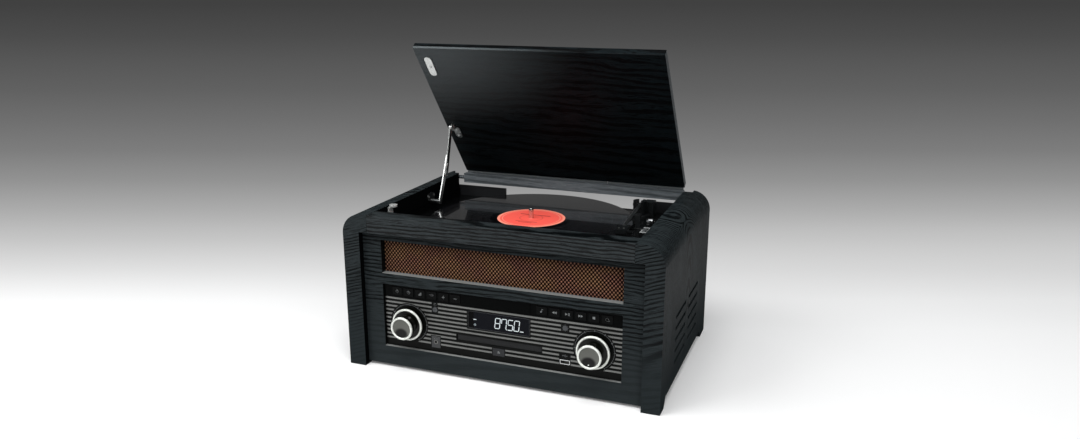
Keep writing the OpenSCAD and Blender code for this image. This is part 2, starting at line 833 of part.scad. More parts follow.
// Deck with the belt's well, the platter's bearing, the motor's hole and the speed selector's housing
module deck_plate() {
  y0 = cloth_back_y + 0.5;
  color("#121315") difference() {
    union() {
      block([-inner_x, y0, deck_z - deck_t], [inner_x, back_y0, deck_z]);
      translate([spindle_x, spindle_y, well_floor_z - well_wall])
        cylinder(r = well_r + well_wall, h = deck_z - well_floor_z + well_wall);
      translate([spindle_x, spindle_y, well_floor_z - bearing_l])
        cylinder(r = bearing_r + bearing_wall, h = bearing_l);
      translate([speed_at[0] - housing_w / 2, speed_at[1] - housing_l / 2, deck_z - 1])
        cube([housing_w, housing_l, speed_h + 1]);
    }
    translate([speed_at[0], speed_at[1], deck_z + 0.3 + speed_h])
      cube([speed_w + 2 * play_side, speed_l + speed_travel + 2 * play_side, 2 * speed_h], center = true);
    translate([spindle_x, spindle_y, well_floor_z]) cylinder(r = well_r, h = well_depth + past, $fn = 120);
    translate([spindle_x, spindle_y, well_floor_z - bearing_l - past])
      cylinder(r = bearing_r + bearing_play, h = bearing_l + 4);
    translate([motor_x, motor_y, well_floor_z - well_wall - past])
      cylinder(r = motor_hole_r, h = well_wall + 2 * past);
  }
}

// Platter with its drive ring, bearing shaft and spindle
module platter() {
  ring_t_drive = 4;
  color("#2c2e30") translate([spindle_x, spindle_y, 0]) {
    translate([0, 0, platter_z - 3.5]) cylinder(r = platter_r, h = 3.5, $fn = 120);
    difference() {
      translate([0, 0, drive_z - 1]) cylinder(r = drive_ring_r, h = platter_z - 3.5 - drive_z + 1, $fn = 120);
      translate([0, 0, drive_z - 2])
        cylinder(r = drive_ring_r - ring_t_drive, h = platter_z - 3.5 - drive_z + 2);
    }
    translate([0, 0, well_floor_z + 2 - bearing_l])
      cylinder(r = bearing_r, h = platter_z - well_floor_z + bearing_l - 3);
    translate([0, 0, platter_z - 1]) cylinder(r = spindle_r, h = record_t + spindle_rise);
    translate([0, 0, platter_z - 1 + record_t + spindle_rise])
      cylinder(r1 = spindle_r, r2 = spindle_r - 1.4, h = 1.5);
  }
}

module record() {
  hole_play = 0.07;
  color("#08090a") translate([spindle_x, spindle_y, record_z]) difference() {
    cylinder(r = record_r, h = record_t, $fn = 180);
    translate([0, 0, -past]) cylinder(r = spindle_r + hole_play, h = record_t + 2 * past);
  }
}

module record_label() {
  hole_play = 0.07;
  color("#e84846") translate([spindle_x, spindle_y, record_top_z]) difference() {
    cylinder(r = label_r, h = 0.15, $fn = 120);
    translate([0, 0, -past]) cylinder(r = spindle_r + hole_play, h = 3 * past);
  }
}

// Motor under the well, drilled for the pulley's shaft
module motor() {
  color("#9a9c9e") translate([motor_x, motor_y, well_floor_z - well_wall - 30]) difference() {
    cylinder(r = 15, h = 30);
    translate([0, 0, 8]) cylinder(r = 1.5 + bearing_play, h = 30);
  }
}

module motor_pulley() {
  shaft_top_z = drive_z + 6;
  color("#c9a227") translate([motor_x, motor_y, 0]) {
    translate([0, 0, well_floor_z - well_wall - 20]) cylinder(r = 1.5, h = shaft_top_z - well_floor_z + 23);
    translate([0, 0, drive_z - 1]) cylinder(r = pulley_r, h = belt_h + 3);
  }
}

// Unit vector at an angle
function heading(a) = [cos(a), sin(a)];

// Loop round the drive ring and the pulley, grown by a margin: the long arc, then the short one
function belt_loop(grow) =
  let (
    r1 = drive_ring_r + grow, r2 = pulley_r + grow, to_motor = 225,
    tilt = acos((r1 - r2) / motor_reach), steps = 72
  )
  concat(
    [for (k = [0 : steps]) r1 * heading(to_motor + tilt + (360 - 2 * tilt) * k / steps)],
    [for (k = [0 : 12]) motor_reach * heading(to_motor) + r2 * heading(to_motor - tilt + 2 * tilt * k / 12)]
  );

module drive_belt() {
  color("#1a1a1a") translate([spindle_x, spindle_y, drive_z]) linear_extrude(belt_h) difference() {
    polygon(belt_loop(belt_play + belt_t));
    polygon(belt_loop(belt_play));
  }
}

// Places its children with the arm's pivot at the origin and the parked arm along -Y
module at_arm() {
  translate([arm_x, arm_y, 0]) rotate([0, 0, arm_park]) children();
}

// Round plinth under the drum, with the bearing bore and the tower behind it
module arm_base() {
  post_r = drum_r + 4;
  tower_w = drum_r + 3.5;
  tower_l = drum_r + 8.5;
  tower_at = [arm_x + pivot_r, arm_y + drum_r - 2.5, deck_z];
  color("#303336") difference() {
    union() {
      translate([arm_x, arm_y, deck_z]) cylinder(r = post_r, h = plinth_h);
      translate(tower_at) cube([tower_w, tower_l, arm_rise + 2]);
    }
    translate([arm_x, arm_y, deck_z + plinth_h + drum_gap]) cylinder(r = drum_r + 1, h = arm_rise + 10);
    translate([arm_x, arm_y, deck_z + 1]) cylinder(r = pivot_r + bearing_play, h = plinth_h + past);
  }
}

// Drum that swings on the plinth and holds the arm between its cheeks
module arm_drum() {
  slot = 6.2;
  drum_low_z = deck_z + plinth_h + drum_gap;
  color("#1b1c1e") at_arm() difference() {
    union() {
      translate([0, 0, drum_low_z]) cylinder(r = drum_r, h = drum_top_z - drum_low_z);
      translate([0, 0, deck_z + 1.5]) cylinder(r = pivot_r, h = plinth_h);
    }
    translate([-slot / 2, -drum_r - past, tube_z - 4.2]) cube([slot, 2 * drum_r + 2 * past, 20]);
    rod_right(-drum_r - past, 0, tube_z, 1.2 + bearing_play, 2 * drum_r + 2 * past);
  }
}

// Arm tube with its cross pin
module arm_tube() {
  color("#aeb0b2") at_arm() {
    translate([0, 3.4, tube_z]) rotate([90, 0, 0]) cylinder(r = tube_r, h = tube_end + 3.4);
    rod_right(-drum_r + 1, 0, tube_z, 1.2, 2 * drum_r - 2);
  }
}

// Headshell, cartridge, stylus and finger lift
module headshell() {
  color("#17181a") at_arm() {
    translate([-head_w / 2, -tube_end - head_l, tube_z - 4]) cube([head_w, head_l, 5]);
    translate([-6, -arm_l - 3, stylus_z + 2.6]) cube([12, 16, tube_z - 4 - stylus_z - 2.6]);
    translate([0, -arm_l, stylus_z]) cylinder(r1 = 0.3, r2 = 1.2, h = 2.7);
    translate([head_w / 2 - 0.5, -tube_end - head_l + 4, tube_z - 2.5]) cube([9, 5, 1.6]);
  }
}

// Foot plate with the cradle for the parked arm and the ears that carry the cue lever
module arm_rest() {
  fork_y = -62;
  fork_play = 0.5;
  cheek_x = tube_r + fork_play;
  cradle_z = tube_z - tube_r - 2.2;
  lip = 0.5;
  color("#6f7274") {
    at_arm() {
      translate([cheek_x + 2.3, fork_y - 5, deck_z]) cube([7, 10, cradle_z - deck_z]);
      translate([-7, fork_y - 5, cradle_z - 3]) cube([cheek_x + 16.3, 10, 3]);
      translate([-7, fork_y - 5, cradle_z - 1]) cube([7 - cheek_x, 10, 1 + lip]);
      translate([cheek_x, fork_y - 5, cradle_z - 1]) cube([9.3, 10, tube_z + 2.5 - cradle_z]);
    }
    difference() {
      union() {
        block([arm_x + 3, arm_y + fork_y - 5, deck_z], [cue_at[0] + cue_half_w, cue_at[1] + 4, deck_z + 1.6]);
        for (s = [-1, 1])
          translate([cue_at[0] + s * (cue_half_w - 1), cue_at[1], deck_z + cue_rise / 2 + 1.5])
            cube([2, 7, cue_rise + 3], center = true);
      }
      translate([cue_at[0] - cue_half_w - past, cue_at[1], deck_z + cue_rise]) rotate([0, 90, 0])
        cylinder(r = cue_pin_r + bearing_play, h = 2 * (cue_half_w + past));
    }
  }
}

// Lever that turns on a cross pin between the console's ears
module cue_lever() {
  hub_w = cue_half_w - 2 - play_side;
  color("#9b9ea0") translate([cue_at[0], cue_at[1], deck_z + cue_rise]) {
    rod_right(-hub_w, 0, 0, 4, 2 * hub_w);
    rod_right(-cue_half_w, 0, 0, cue_pin_r, 2 * cue_half_w);
    rotate([-14, 0, 0]) translate([-2, -17, -1.2]) cube([4, 16, 2.4]);
  }
}

// Speed selector: a slider in the slot of the deck's raised housing
module speed_lever() {
  color("#a7aaac") translate([speed_at[0], speed_at[1] - speed_travel / 2, deck_z]) {
    translate([-speed_w / 2, -speed_l / 2, 0.8]) cube([speed_w, speed_l, speed_h + 2]);
    translate([-speed_w / 2 - 1.2, -speed_l / 4, speed_h + 1.4]) cube([speed_w + 2.4, speed_l / 2, 2.4]);
  }
}

module lid_panel() {
  color("#1d2022") on_lid() block([lid_x0, lid_front_y, lid_z], [lid_x1, rail_back_y, lid_z + lid_t]);
}

// Repeats its children at every hinge in the row
module along_lid() {
  for (i = [0 : hinge_n - 1]) translate([(lid_x0 + lid_x1) / 2 + (i - (hinge_n - 1) / 2) * hinge_pitch, 0, 0])
    children();
}

// Fixed middle knuckles with their leaves on the rail's rear face, and the pins
module rail_leaves() {
  leaf_top_z = hinge_z - knuckle_r - 0.4;
  own_l = hinge_l / 3 - 0.6;
  color("#b8b9b6") along_lid() {
    block(
      [-hinge_l / 2, rail_back_y, cabinet_h - rail_h + 1],
      [hinge_l / 2, rail_back_y + leaf_t, leaf_top_z]
    );
    block([-own_l / 2, rail_back_y, leaf_top_z - 1], [own_l / 2, rail_back_y + leaf_t, hinge_z - 0.3]);
    rod_right(-own_l / 2, hinge_y, hinge_z, knuckle_r, own_l);
    rod_right(-hinge_l / 2, hinge_y, hinge_z, hinge_pin_r, hinge_l);
  }
}

// Outer knuckles with their leaves on the lid's rear edge
module lid_leaves() {
  leaf_low_z = hinge_z + knuckle_r + 0.4;
  own_l = hinge_l / 3;
  color("#b8b9b6") on_lid() along_lid() difference() {
    union() {
      block([-hinge_l / 2, rail_back_y, leaf_low_z], [hinge_l / 2, rail_back_y + leaf_t, lid_z + lid_t - 1]);
      for (k = [-1, 1]) {
        block(
          [k * own_l - own_l / 2, rail_back_y, hinge_z + 0.3],
          [k * own_l + own_l / 2, rail_back_y + leaf_t, leaf_low_z + 1]
        );
        rod_right(k * own_l - own_l / 2, hinge_y, hinge_z, knuckle_r, own_l);
      }
    }
    rod_right(-hinge_l, hinge_y, hinge_z, hinge_pin_r + bearing_play, 2 * hinge_l);
  }
}

// Oval plate under the lid's free corner, with its screw
module strike_plate() {
  plate_t = 1.6;
  color("#d2d3d0") on_lid() translate([strike_x, strike_y, lid_z - plate_t]) {
    difference() {
      rotate([0, 0, 90]) linear_extrude(plate_t) stadium(strike_l, strike_w);
      translate([0, 0, -past]) cylinder(r = 2.2, h = plate_t + 2 * past);
    }
    translate([0, 0, 0.3]) cylinder(r = 2.1, h = plate_t - 0.3);
  }
}

// Plate under the lid with the ear and pin of the stay's upper pivot
module lid_bracket() {
  ear_x = upper_bar_x + bar_t + stay_play;
  head_x = upper_bar_x - stay_play;
  base_t = 1.4;
  base_l = 22;
  base_w = 11;
  base_y = lug_closed[0] + base_l / 2 + 5;
  color("#c4c6c4") on_lid() {
    translate([ear_x + base_w / 2 - 0.5, base_y, lid_z - base_t]) rotate([0, 0, 90])
      linear_extrude(base_t) stadium(base_l, base_w);
    block([ear_x, lug_closed[0] - 1, lid_z - base_t], [ear_x + bar_t + 2, base_y, lid_z]);
    block([ear_x, lug_closed[0] - 4, lug_closed[1]], [ear_x + bar_t, lug_closed[0] + 8, lid_z]);
    rod_right(ear_x, lug_closed[0], lug_closed[1], 4, bar_t);
    rod_right(head_x, lug_closed[0], lug_closed[1], bar_pin_r, ear_x - head_x);
    rod_right(head_x - 0.8, lug_closed[0], lug_closed[1], bar_pin_r + 1.2, 0.8);
  }
}

// Plate on the side strip with the boss and pin of the stay's lower pivot
module wall_bracket() {
  boss_r = 3.6;
  plate_t = 1.6;
  plate_l = 24;
  plate_w = 11;
  boss_end = lower_bar_x - stay_play;
  head_x = lower_bar_x + bar_t + stay_play;
  color("#c4c6c4") {
    translate([-open_x, foot_pivot[0], (under_top_z + cabinet_h) / 2 - 4]) rotate([90, 0, 90])
      linear_extrude(plate_t) stadium(plate_l, plate_w);
    translate([-open_x, foot_pivot[0] - 3, foot_pivot[1]]) cube([plate_t, 6, cabinet_h - 10 - foot_pivot[1]]);
    rod_right(-open_x, foot_pivot[0], foot_pivot[1], boss_r, boss_end + open_x);
    rod_right(boss_end, foot_pivot[0], foot_pivot[1], bar_pin_r, head_x - boss_end);
    rod_right(head_x, foot_pivot[0], foot_pivot[1], bar_pin_r + 1.2, 0.8);
  }
}

// Flat bar from a pivot hole through the elbow to its tail, in the plane across X
module stay_bar(x, start, stop) {
  run = stop - start;
  slope = atan2(run[1], run[0]);
  translate([x, start[0], start[1]]) rotate([slope, 0, 0]) difference() {
    rotate([90, 0, 90]) linear_extrude(bar_t) union() {
      circle(d = bar_w);
      translate([0, -bar_w / 2]) square([norm(run) + bar_tail, bar_w]);
      translate([norm(run) + bar_tail, 0]) circle(d = bar_w);
    }
    rod_right(-past, 0, 0, bar_pin_r + bearing_play, bar_t + 2 * past);
  }
}

module lower_bar() {
  color("#d9dad7") {
    stay_bar(lower_bar_x, foot_pivot, elbow);
    rod_right(lower_bar_x - 0.7, elbow[0], elbow[1], 3, 0.8);
  }
}

module upper_bar() {
  color("#d9dad7") {
    stay_bar(upper_bar_x, lug_open, elbow);
    rod_right(upper_bar_x + bar_t - 0.1, elbow[0], elbow[1], 3, 0.8);
  }
}

// Rest disc under the lid's left edge, on a bracket from the side strip
module lid_catch() {
  disc_r = 5.6;
  disc_t = 3;
  catch_y = -87;
  color("#cfd0cd") translate([-open_x, catch_y, cabinet_h]) {
    translate([disc_r, 0, 0.4 - disc_t]) cylinder(r = disc_r, h = disc_t);
    translate([0, -4, -disc_t - 1.6]) cube([disc_r, 8, 2.2]);
    translate([0, -6, -16]) cube([1.6, 12, 13]);
  }
}

// Hinge rail between the boards, held by a pin at each end
module rear_rail() {
  mid_y = rail_back_y - rail_t / 2;
  mid_z = cabinet_h - rail_h / 2;
  pin_in = 10;
  color("#33383a") {
    block([lid_x0, rail_front_y, cabinet_h - rail_h], [lid_x1, rail_back_y, cabinet_h]);
    rod_right(-inner_x - pin_in, mid_y, mid_z, rail_pin_r, 2 * (inner_x + pin_in));
  }
}

left_side();
right_side();
front_top_rail();
front_baffle();
grille_cloth();
speakers();
back_panel();
bottom_panel();
rear_sockets();
fascia();
trim_stripes();
key_strip();
display_window();
display_module();
volume_knob();
volume_rings();
tuning_knob();
tuning_rings();
knob_encoders();
cd_mechanism();
cd_flap();
eject_key();
front_sockets();
indicator_lenses();
deck_plate();
platter();
record();
record_label();
motor();
motor_pulley();
drive_belt();
arm_base();
arm_drum();
arm_tube();
headshell();
arm_rest();
cue_lever();
speed_lever();
lid_panel();
lid_leaves();
rail_leaves();
strike_plate();
lid_bracket();
wall_bracket();
lower_bar();
upper_bar();
lid_catch();
rear_rail();
for (i = [1 : keys_per_side]) {
  panel_key(-1, i);
  panel_key(1, i);
}
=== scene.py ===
"""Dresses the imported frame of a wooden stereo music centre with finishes, small fittings, light and a camera."""

import json
import logging
import math
from collections.abc import Iterable, Sequence
from dataclasses import dataclass, field
from enum import Enum

import bmesh
import bpy
from mathutils import Matrix, Vector


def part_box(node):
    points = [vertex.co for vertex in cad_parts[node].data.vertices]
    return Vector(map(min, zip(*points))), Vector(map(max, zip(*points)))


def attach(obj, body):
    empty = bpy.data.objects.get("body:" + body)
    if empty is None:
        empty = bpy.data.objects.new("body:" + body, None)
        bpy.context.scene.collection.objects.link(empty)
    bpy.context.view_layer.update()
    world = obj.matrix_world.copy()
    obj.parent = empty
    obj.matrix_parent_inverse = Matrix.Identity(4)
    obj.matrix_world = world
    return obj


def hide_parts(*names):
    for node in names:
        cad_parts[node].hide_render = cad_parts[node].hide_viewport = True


LOG = logging.getLogger("music_centre")
MM = 0.001
Point = tuple[float, float]
Triple = tuple[float, float, float]
Colour = tuple[float, float, float]

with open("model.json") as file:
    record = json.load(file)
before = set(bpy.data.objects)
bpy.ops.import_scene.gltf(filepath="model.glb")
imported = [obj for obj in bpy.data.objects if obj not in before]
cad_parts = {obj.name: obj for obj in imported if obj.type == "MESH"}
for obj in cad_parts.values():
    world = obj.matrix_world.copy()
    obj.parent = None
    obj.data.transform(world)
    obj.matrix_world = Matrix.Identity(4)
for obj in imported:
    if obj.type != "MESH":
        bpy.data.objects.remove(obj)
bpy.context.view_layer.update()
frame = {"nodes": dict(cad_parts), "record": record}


def linear(red: int, green: int, blue: int) -> Colour:
    """Turns a display colour into the linear one that shaders use.

    Args:
        red: Red from 0 to 255.
        green: Green from 0 to 255.
        blue: Blue from 0 to 255.

    Returns:
        The linear colour.
    """

    def channel(value: int) -> float:
        """Returns one channel in linear light."""
        share = value / 255
        return share / 12.92 if share <= 0.04045 else ((share + 0.055) / 1.055) ** 2.4

    return channel(red), channel(green), channel(blue)


def low(node: str) -> Vector:
    """Returns the lowest corner of a CAD node in millimetres."""
    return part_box(node)[0] / MM


def high(node: str) -> Vector:
    """Returns the highest corner of a CAD node in millimetres."""
    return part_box(node)[1] / MM


def middle(node: str) -> Vector:
    """Returns the middle of a CAD node's box in millimetres."""
    return (low(node) + high(node)) / 2


class Wire:
    """A value that flows between shader nodes and takes part in Python expressions."""

    def __init__(self, recipe: "Recipe", socket: bpy.types.NodeSocket) -> None:
        """Keeps the socket and the recipe that it belongs to."""
        self.recipe = recipe
        self.socket = socket

    def maths(self, operation: str, *others: "Wire | float") -> "Wire":
        """Adds one Math node.

        Args:
            operation: The node's operation.
            others: The values after this one.

        Returns:
            The node's result.
        """
        values = dict(enumerate((self, *others)))
        return self.recipe.node("ShaderNodeMath", {"operation": operation}, values)

    def __add__(self, other: "Wire | float") -> "Wire":
        """Returns this plus other."""
        return self.maths("ADD", other)

    def __radd__(self, other: float) -> "Wire":
        """Returns other plus this."""
        return self.maths("ADD", other)

    def __sub__(self, other: "Wire | float") -> "Wire":
        """Returns this minus other."""
        return self.maths("SUBTRACT", other)

    def __rsub__(self, other: float) -> "Wire":
        """Returns other minus this."""
        return (self * -1.0) + other

    def __mul__(self, other: "Wire | float") -> "Wire":
        """Returns this times other."""
        return self.maths("MULTIPLY", other)

    def __rmul__(self, other: float) -> "Wire":
        """Returns other times this."""
        return self.maths("MULTIPLY", other)

    def __truediv__(self, other: "Wire | float") -> "Wire":
        """Returns this divided by other."""
        return self.maths("DIVIDE", other)

    def __pow__(self, other: float) -> "Wire":
        """Returns this raised to a power."""
        return self.maths("POWER", other)

    def __abs__(self) -> "Wire":
        """Returns this without its sign."""
        return self.maths("ABSOLUTE")

    def sine(self) -> "Wire":
        """Returns the sine of this."""
        return self.maths("SINE")

    def root(self) -> "Wire":
        """Returns the square root of this."""
        return self.maths("SQRT")

    def least(self, other: "Wire | float") -> "Wire":
        """Returns the smaller of the two."""
        return self.maths("MINIMUM", other)

    def most(self, other: "Wire | float") -> "Wire":
        """Returns the larger of the two."""
        return self.maths("MAXIMUM", other)

    def above(self, start: float, end: float) -> "Wire":
        """Rises smoothly from 0 to 1.

        Args:
            start: Where the rise begins.
            end: Where it ends; a smaller end makes it fall.

        Returns:
            The share from 0 to 1.
        """
        settings = {"interpolation_type": "SMOOTHSTEP"}
        return self.recipe.node("ShaderNodeMapRange", settings, {"Value": self, "From Min": start, "From Max": end})


class Recipe:
    """One material under construction, with a Principled shader at its end."""

    def __init__(self, name: str) -> None:
        """Starts a material of that name."""
        self.material = bpy.data.materials.new(name)
        self.material.use_nodes = True
        self.tree = self.material.node_tree
        self.tree.nodes.clear()
        self.output = self.tree.nodes.new("ShaderNodeOutputMaterial")
        self.shader = self.tree.nodes.new("ShaderNodeBsdfPrincipled")
        self.tree.links.new(self.shader.outputs[0], self.output.inputs[0])

    def raw(self, kind: str, settings: dict | None = None, inputs: dict | None = None) -> bpy.types.Node:
        """Adds a node.

        Args:
            kind: The node's type.
            settings: Its properties, set first; "stops" fills a colour ramp.
            inputs: Values or wires by socket name, identifier or index.

        Returns:
            The node.
        """
        made = self.tree.nodes.new(kind)
        for key, value in (settings or {}).items():
            if key == "stops":
                self.fill_ramp(made, value)
            else:
                setattr(made, key, value)
        for key, value in (inputs or {}).items():
            self.plug(made, key, value)
        return made

    def node(self, kind: str, settings: dict | None = None, inputs: dict | None = None, output: int | str = 0) -> Wire:
        """Adds a node and returns one of its outputs.

        Args:
            kind: The node's type.
            settings: Its properties.
            inputs: Values or wires of its sockets.
            output: The output's index or identifier.

        Returns:
            The output as a wire.
        """
        made = self.raw(kind, settings, inputs)
        if isinstance(output, int):
            return Wire(self, made.outputs[output])
        return Wire(self, next(s for s in made.outputs if output in (s.identifier, s.name)))

    def plug(self, node: bpy.types.Node, key: int | str, value: object) -> None:
        """Sets or links one input socket."""
        if isinstance(key, int):
            socket = node.inputs[key]
        else:
            socket = next(s for s in node.inputs if key in (s.identifier, s.name))
        if isinstance(value, Wire):
            self.tree.links.new(value.socket, socket)
        elif isinstance(value, tuple) and len(value) == 3 and socket.type == "RGBA":
            socket.default_value = (*value, 1.0)
        else:
            socket.default_value = value

    @staticmethod
    def fill_ramp(node: bpy.types.Node, stops: Sequence[tuple[float, Colour]]) -> None:
        """Gives a colour ramp its stops."""
        ramp = node.color_ramp
        while len(ramp.elements) < len(stops):
            ramp.elements.new(0.5)
        for element, (place, colour) in zip(ramp.elements, stops):
            element.position = place
            element.color = (*colour, 1.0)

    def places(self) -> tuple[Wire, Wire, Wire]:
        """Returns the point's x, y and z in the rest frame, in millimetres."""
        coordinates = self.node("ShaderNodeTexCoord", output="Object")
        split = self.raw("ShaderNodeSeparateXYZ", None, {0: coordinates})
        x, y, z = (Wire(self, socket) / MM for socket in split.outputs)
        return x, y, z

    def joined(self, x: Wire | float, y: Wire | float, z: Wire | float = 0.0) -> Wire:
        """Returns a vector of three values."""
        return self.node("ShaderNodeCombineXYZ", None, {0: x, 1: y, 2: z})

    def between(self, factor: Wire | float, first: Wire | float, second: Wire | float) -> Wire:
        """Returns a number between two others."""
        inputs = {"Factor_Float": factor, "A_Float": first, "B_Float": second}
        return self.node("ShaderNodeMix", {"data_type": "FLOAT", "clamp_factor": True}, inputs, "Result_Float")

    def noise(self, vector: Wire, scale: float = 1.0, detail: float = 2.0, roughness: float = 0.5) -> Wire:
        """Returns noise from 0 to 1.

        Args:
            vector: Where it is read.
            scale: Its frequency.
            detail: Number of octaves.
            roughness: Share of each finer octave.

        Returns:
            The noise.
        """
        inputs = {"Vector": vector, "Scale": scale, "Detail": detail, "Roughness": roughness}
        return self.node("ShaderNodeTexNoise", None, inputs)

    def mixed(self, factor: Wire | float, first: Wire | Colour, second: Wire | Colour) -> Wire:
        """Returns a colour between two others."""
        inputs = {"Factor_Float": factor, "A_Color": first, "B_Color": second}
        return self.node("ShaderNodeMix", {"data_type": "RGBA"}, inputs, "Result_Color")

    def bump(self, height: Wire, depth: float) -> Wire:
        """Returns a normal.

        Args:
            height: Height from 0 to 1.
            depth: The real height of 1, in millimetres.

        Returns:
            The bumped normal.
        """
        return self.node("ShaderNodeBump", None, {"Strength": 1.0, "Distance": depth * MM, "Height": height})

    def done(self, **sockets: object) -> bpy.types.Material:
        """Sets the shader's sockets, whose spaces are written as underscores, and returns the material."""
        for name, value in sockets.items():
            self.plug(self.shader, name.replace("_", " "), value)
        return self.material


class Layout(Enum):
    """How the grain of a board runs."""

    ALONG_X = "along x"
    ALONG_X_TILTED = "along x on the open lid"
    WRAPPED = "up the side and over the corner"


@dataclass(frozen=True)
class Lining:
    """Black paint on the faces over the record deck, and black on the recess faces beside the baffle."""

    half_width: float
    front: float
    top: float
    inner_x: float
    first_y: float
    colour: Colour = linear(9, 10, 11)

    def paint(self, recipe: Recipe, colour: Wire) -> tuple[Wire, Wire]:
        """Returns the colour with the black, and 1 where the black covers the wood."""
        x, y, z = recipe.places()
        beside = abs(x).above(self.half_width + 1.5, self.half_width + 1.2)
        behind = y.above(self.front - 0.4, self.front - 0.2)
        deck = beside * behind * z.above(self.top - 0.7, self.top - 1.0)
        recess = abs(x).above(self.inner_x + 0.25, self.inner_x + 0.1) * y.above(self.first_y + 0.6, self.first_y + 1.0)
        share = deck.most(recess * z.above(self.top - 24.0, self.top - 25.2))
        return recipe.mixed(share, colour, self.colour), share


@dataclass(frozen=True)
class Reveal:
    """Black walls of the openings in the baffle, and a painted highlight on their sills."""

    front: float
    sills: tuple[float, ...]
    dark: Colour = linear(9, 10, 10)
    # Colour of the painted highlight on the sills.
    pale: Colour = linear(124, 126, 125)

    def paint(self, recipe: Recipe, colour: Wire) -> tuple[Wire, Wire]:
        """Returns the colour with black walls and painted highlights on the sills, and 1 on the black walls."""
        _, y, z = recipe.places()
        inside = y.above(self.front + 0.5, self.front + 0.8)
        painted = recipe.mixed(inside, colour, self.dark)
        # Painted highlight along each sill, which faces up.
        for sill in self.sills:
            level = abs(z - sill).above(0.5, 0.3) * y.above(self.front + 0.1, self.front + 0.3)
            painted = recipe.mixed(level, painted, self.pale)
        return painted, inside


@dataclass(frozen=True)
class LidHighlights:
    """Painted highlights on the lid: paler right and front edges, and a painted sheen inside towards its free left
    corner.
    """

    right: float
    front: float
    corner: Triple
    tilt: float
    # Reach of the painted sheen and colour of the painted edge highlight.
    reach: float = 180.0
    pale: Colour = linear(96, 100, 102)

    def paint(self, recipe: Recipe, colour: Wire) -> tuple[Wire, Wire]:
        """Returns the colour with the painted sheen and edge highlights, and 1 on the edges."""
        x, y, z = recipe.places()
        away = (x - self.corner[0]) * 0.7, y - self.corner[1], z - self.corner[2]
        far = (away[0] * away[0] + away[1] * away[1] + away[2] * away[2]).root()
        rise, lean = math.cos(math.radians(self.tilt)), math.sin(math.radians(self.tilt))
        inside = (away[1] * lean + away[2] * rise).above(0.0, -1.0)
        # Painted sheen on the inner face, towards the free left corner.
        lit = recipe.mixed(far.above(self.reach, 20.0) * inside * 0.85, colour, linear(96, 102, 104))
        # Painted highlight along the right and front edges.
        edge = x.above(self.right - 0.3, self.right - 0.1).most(y.above(self.front + 0.4, self.front + 0.1))
        return recipe.mixed(edge * 0.8, lit, self.pale), edge


@dataclass(frozen=True)
class Veneer:
    """Dark stained veneer with open pores and flowing rings."""

    name: str
    layout: Layout
    light: Colour = linear(46, 52, 54)
    dark: Colour = linear(3, 5, 6)
    ring: float = 6.5
    pith: float = 80.0
    slope: float = 0.03
    sway: float = 16.0
    figure: float = 0.8
    calm_below: float = 0.0
    roughness: float = 0.4
    shift: float = 0.0
    tilt: float = 51.2
    paint: Lining | Reveal | LidHighlights | None = None
    polish: float = 0.0
    polish_fades: bool = False
    shine: float = 0.06

    def axes(self, recipe: Recipe) -> tuple[Wire, Wire, Wire]:
        """Returns the places along the grain, across it and into the board, in millimetres."""
        x, y, z = recipe.places()
        if self.layout is Layout.ALONG_X:
            return x, z, y
        if self.layout is Layout.ALONG_X_TILTED:
            cosine = math.cos(math.radians(self.tilt))
            sine = math.sin(math.radians(self.tilt))
            return x, z * sine - y * cosine, y * sine + z * cosine
        half_width = high("right_side").x
        height = high("right_side").z
        outward = abs(x)
        inset = (half_width - outward).least(height - z)
        run = z - outward
        front = y.above(low("right_side").y + 1.6, low("right_side").y + 0.9)
        along = recipe.between(front, run, x + z * 0.28)
        across = recipe.between(front, y + run * 0.04, z - x * 0.3)
        return along, across, recipe.between(front, inset + run * 0.1, y)

    def calm(self, recipe: Recipe) -> Wire | float:
        """Returns how strongly the figure shows: it fades towards the foot of the cabinet."""
        if not self.calm_below:
            return self.figure
        _, _, z = recipe.places()
        return z.above(self.calm_below * 0.3, self.calm_below) * (self.figure * 0.8) + self.figure * 0.2

    def material(self) -> bpy.types.Material:
        """Returns the veneer as a material."""
        recipe = Recipe(self.name)
        run, across, depth = self.axes(recipe)
        run = run + self.shift
        slow = recipe.noise(recipe.joined(run / 150, across / 60, depth / 60), 1.0, 2.0) - 0.5
        quick = recipe.noise(recipe.joined(run / 34, across / 9, depth / 9), 1.0, 2.0) - 0.5
        side = across + slow * self.sway + quick * (self.sway * 0.2)
        below = depth + run * self.slope + self.pith
        radius = (side * side + below * below).root()
        wave = (radius * (math.tau / self.ring)).sine() * 0.5 + 0.5
        patches = recipe.noise(recipe.joined(run / 120, across / 26, depth / 26), 1.0, 2.0)
        late = wave.above(0.4, 0.95) * patches.above(0.32, 0.54)
        pores = recipe.noise(recipe.joined(run / 26, side / 1.1, below / 1.1), 1.0, 3.0, 0.6)
        flecks = recipe.noise(recipe.joined(run / 13 + 7.0, side / 0.8, below / 0.8), 1.0, 2.0)
        fine = recipe.noise(recipe.joined(run / 60, side / 0.45, below / 0.45), 1.0, 2.0)
        calm = self.calm(recipe)
        cuts = (pores + late * 0.14).above(0.5, 0.6) * calm
        streaks = late * calm
        pale = flecks.above(0.62, 0.74) * (1.0 - late) * calm
        shade = cuts * 0.85 + streaks * 0.8 + fine * 0.25
        tone = recipe.mixed(shade.least(1.0), self.light, self.dark)
        colour = recipe.mixed(pale * 0.6, tone, tuple(c * 2.4 for c in self.light))
        coat = self.polish
        if self.paint:
            colour, covered = self.paint.paint(recipe, colour)
            coat = (1.0 - covered) * self.polish
        if self.polish_fades:
            coat = recipe.places()[2].above(-20.0, 170.0) * coat
        return recipe.done(
            Base_Color=colour,
            Roughness=cuts * 0.15 + fine * 0.1 + self.roughness,
            Normal=recipe.bump(1.0 - cuts * 0.7 - fine * 0.3, 0.14),
            Specular_IOR_Level=self.shine,
            Coat_Weight=coat,
            Coat_Roughness=0.25,
        )


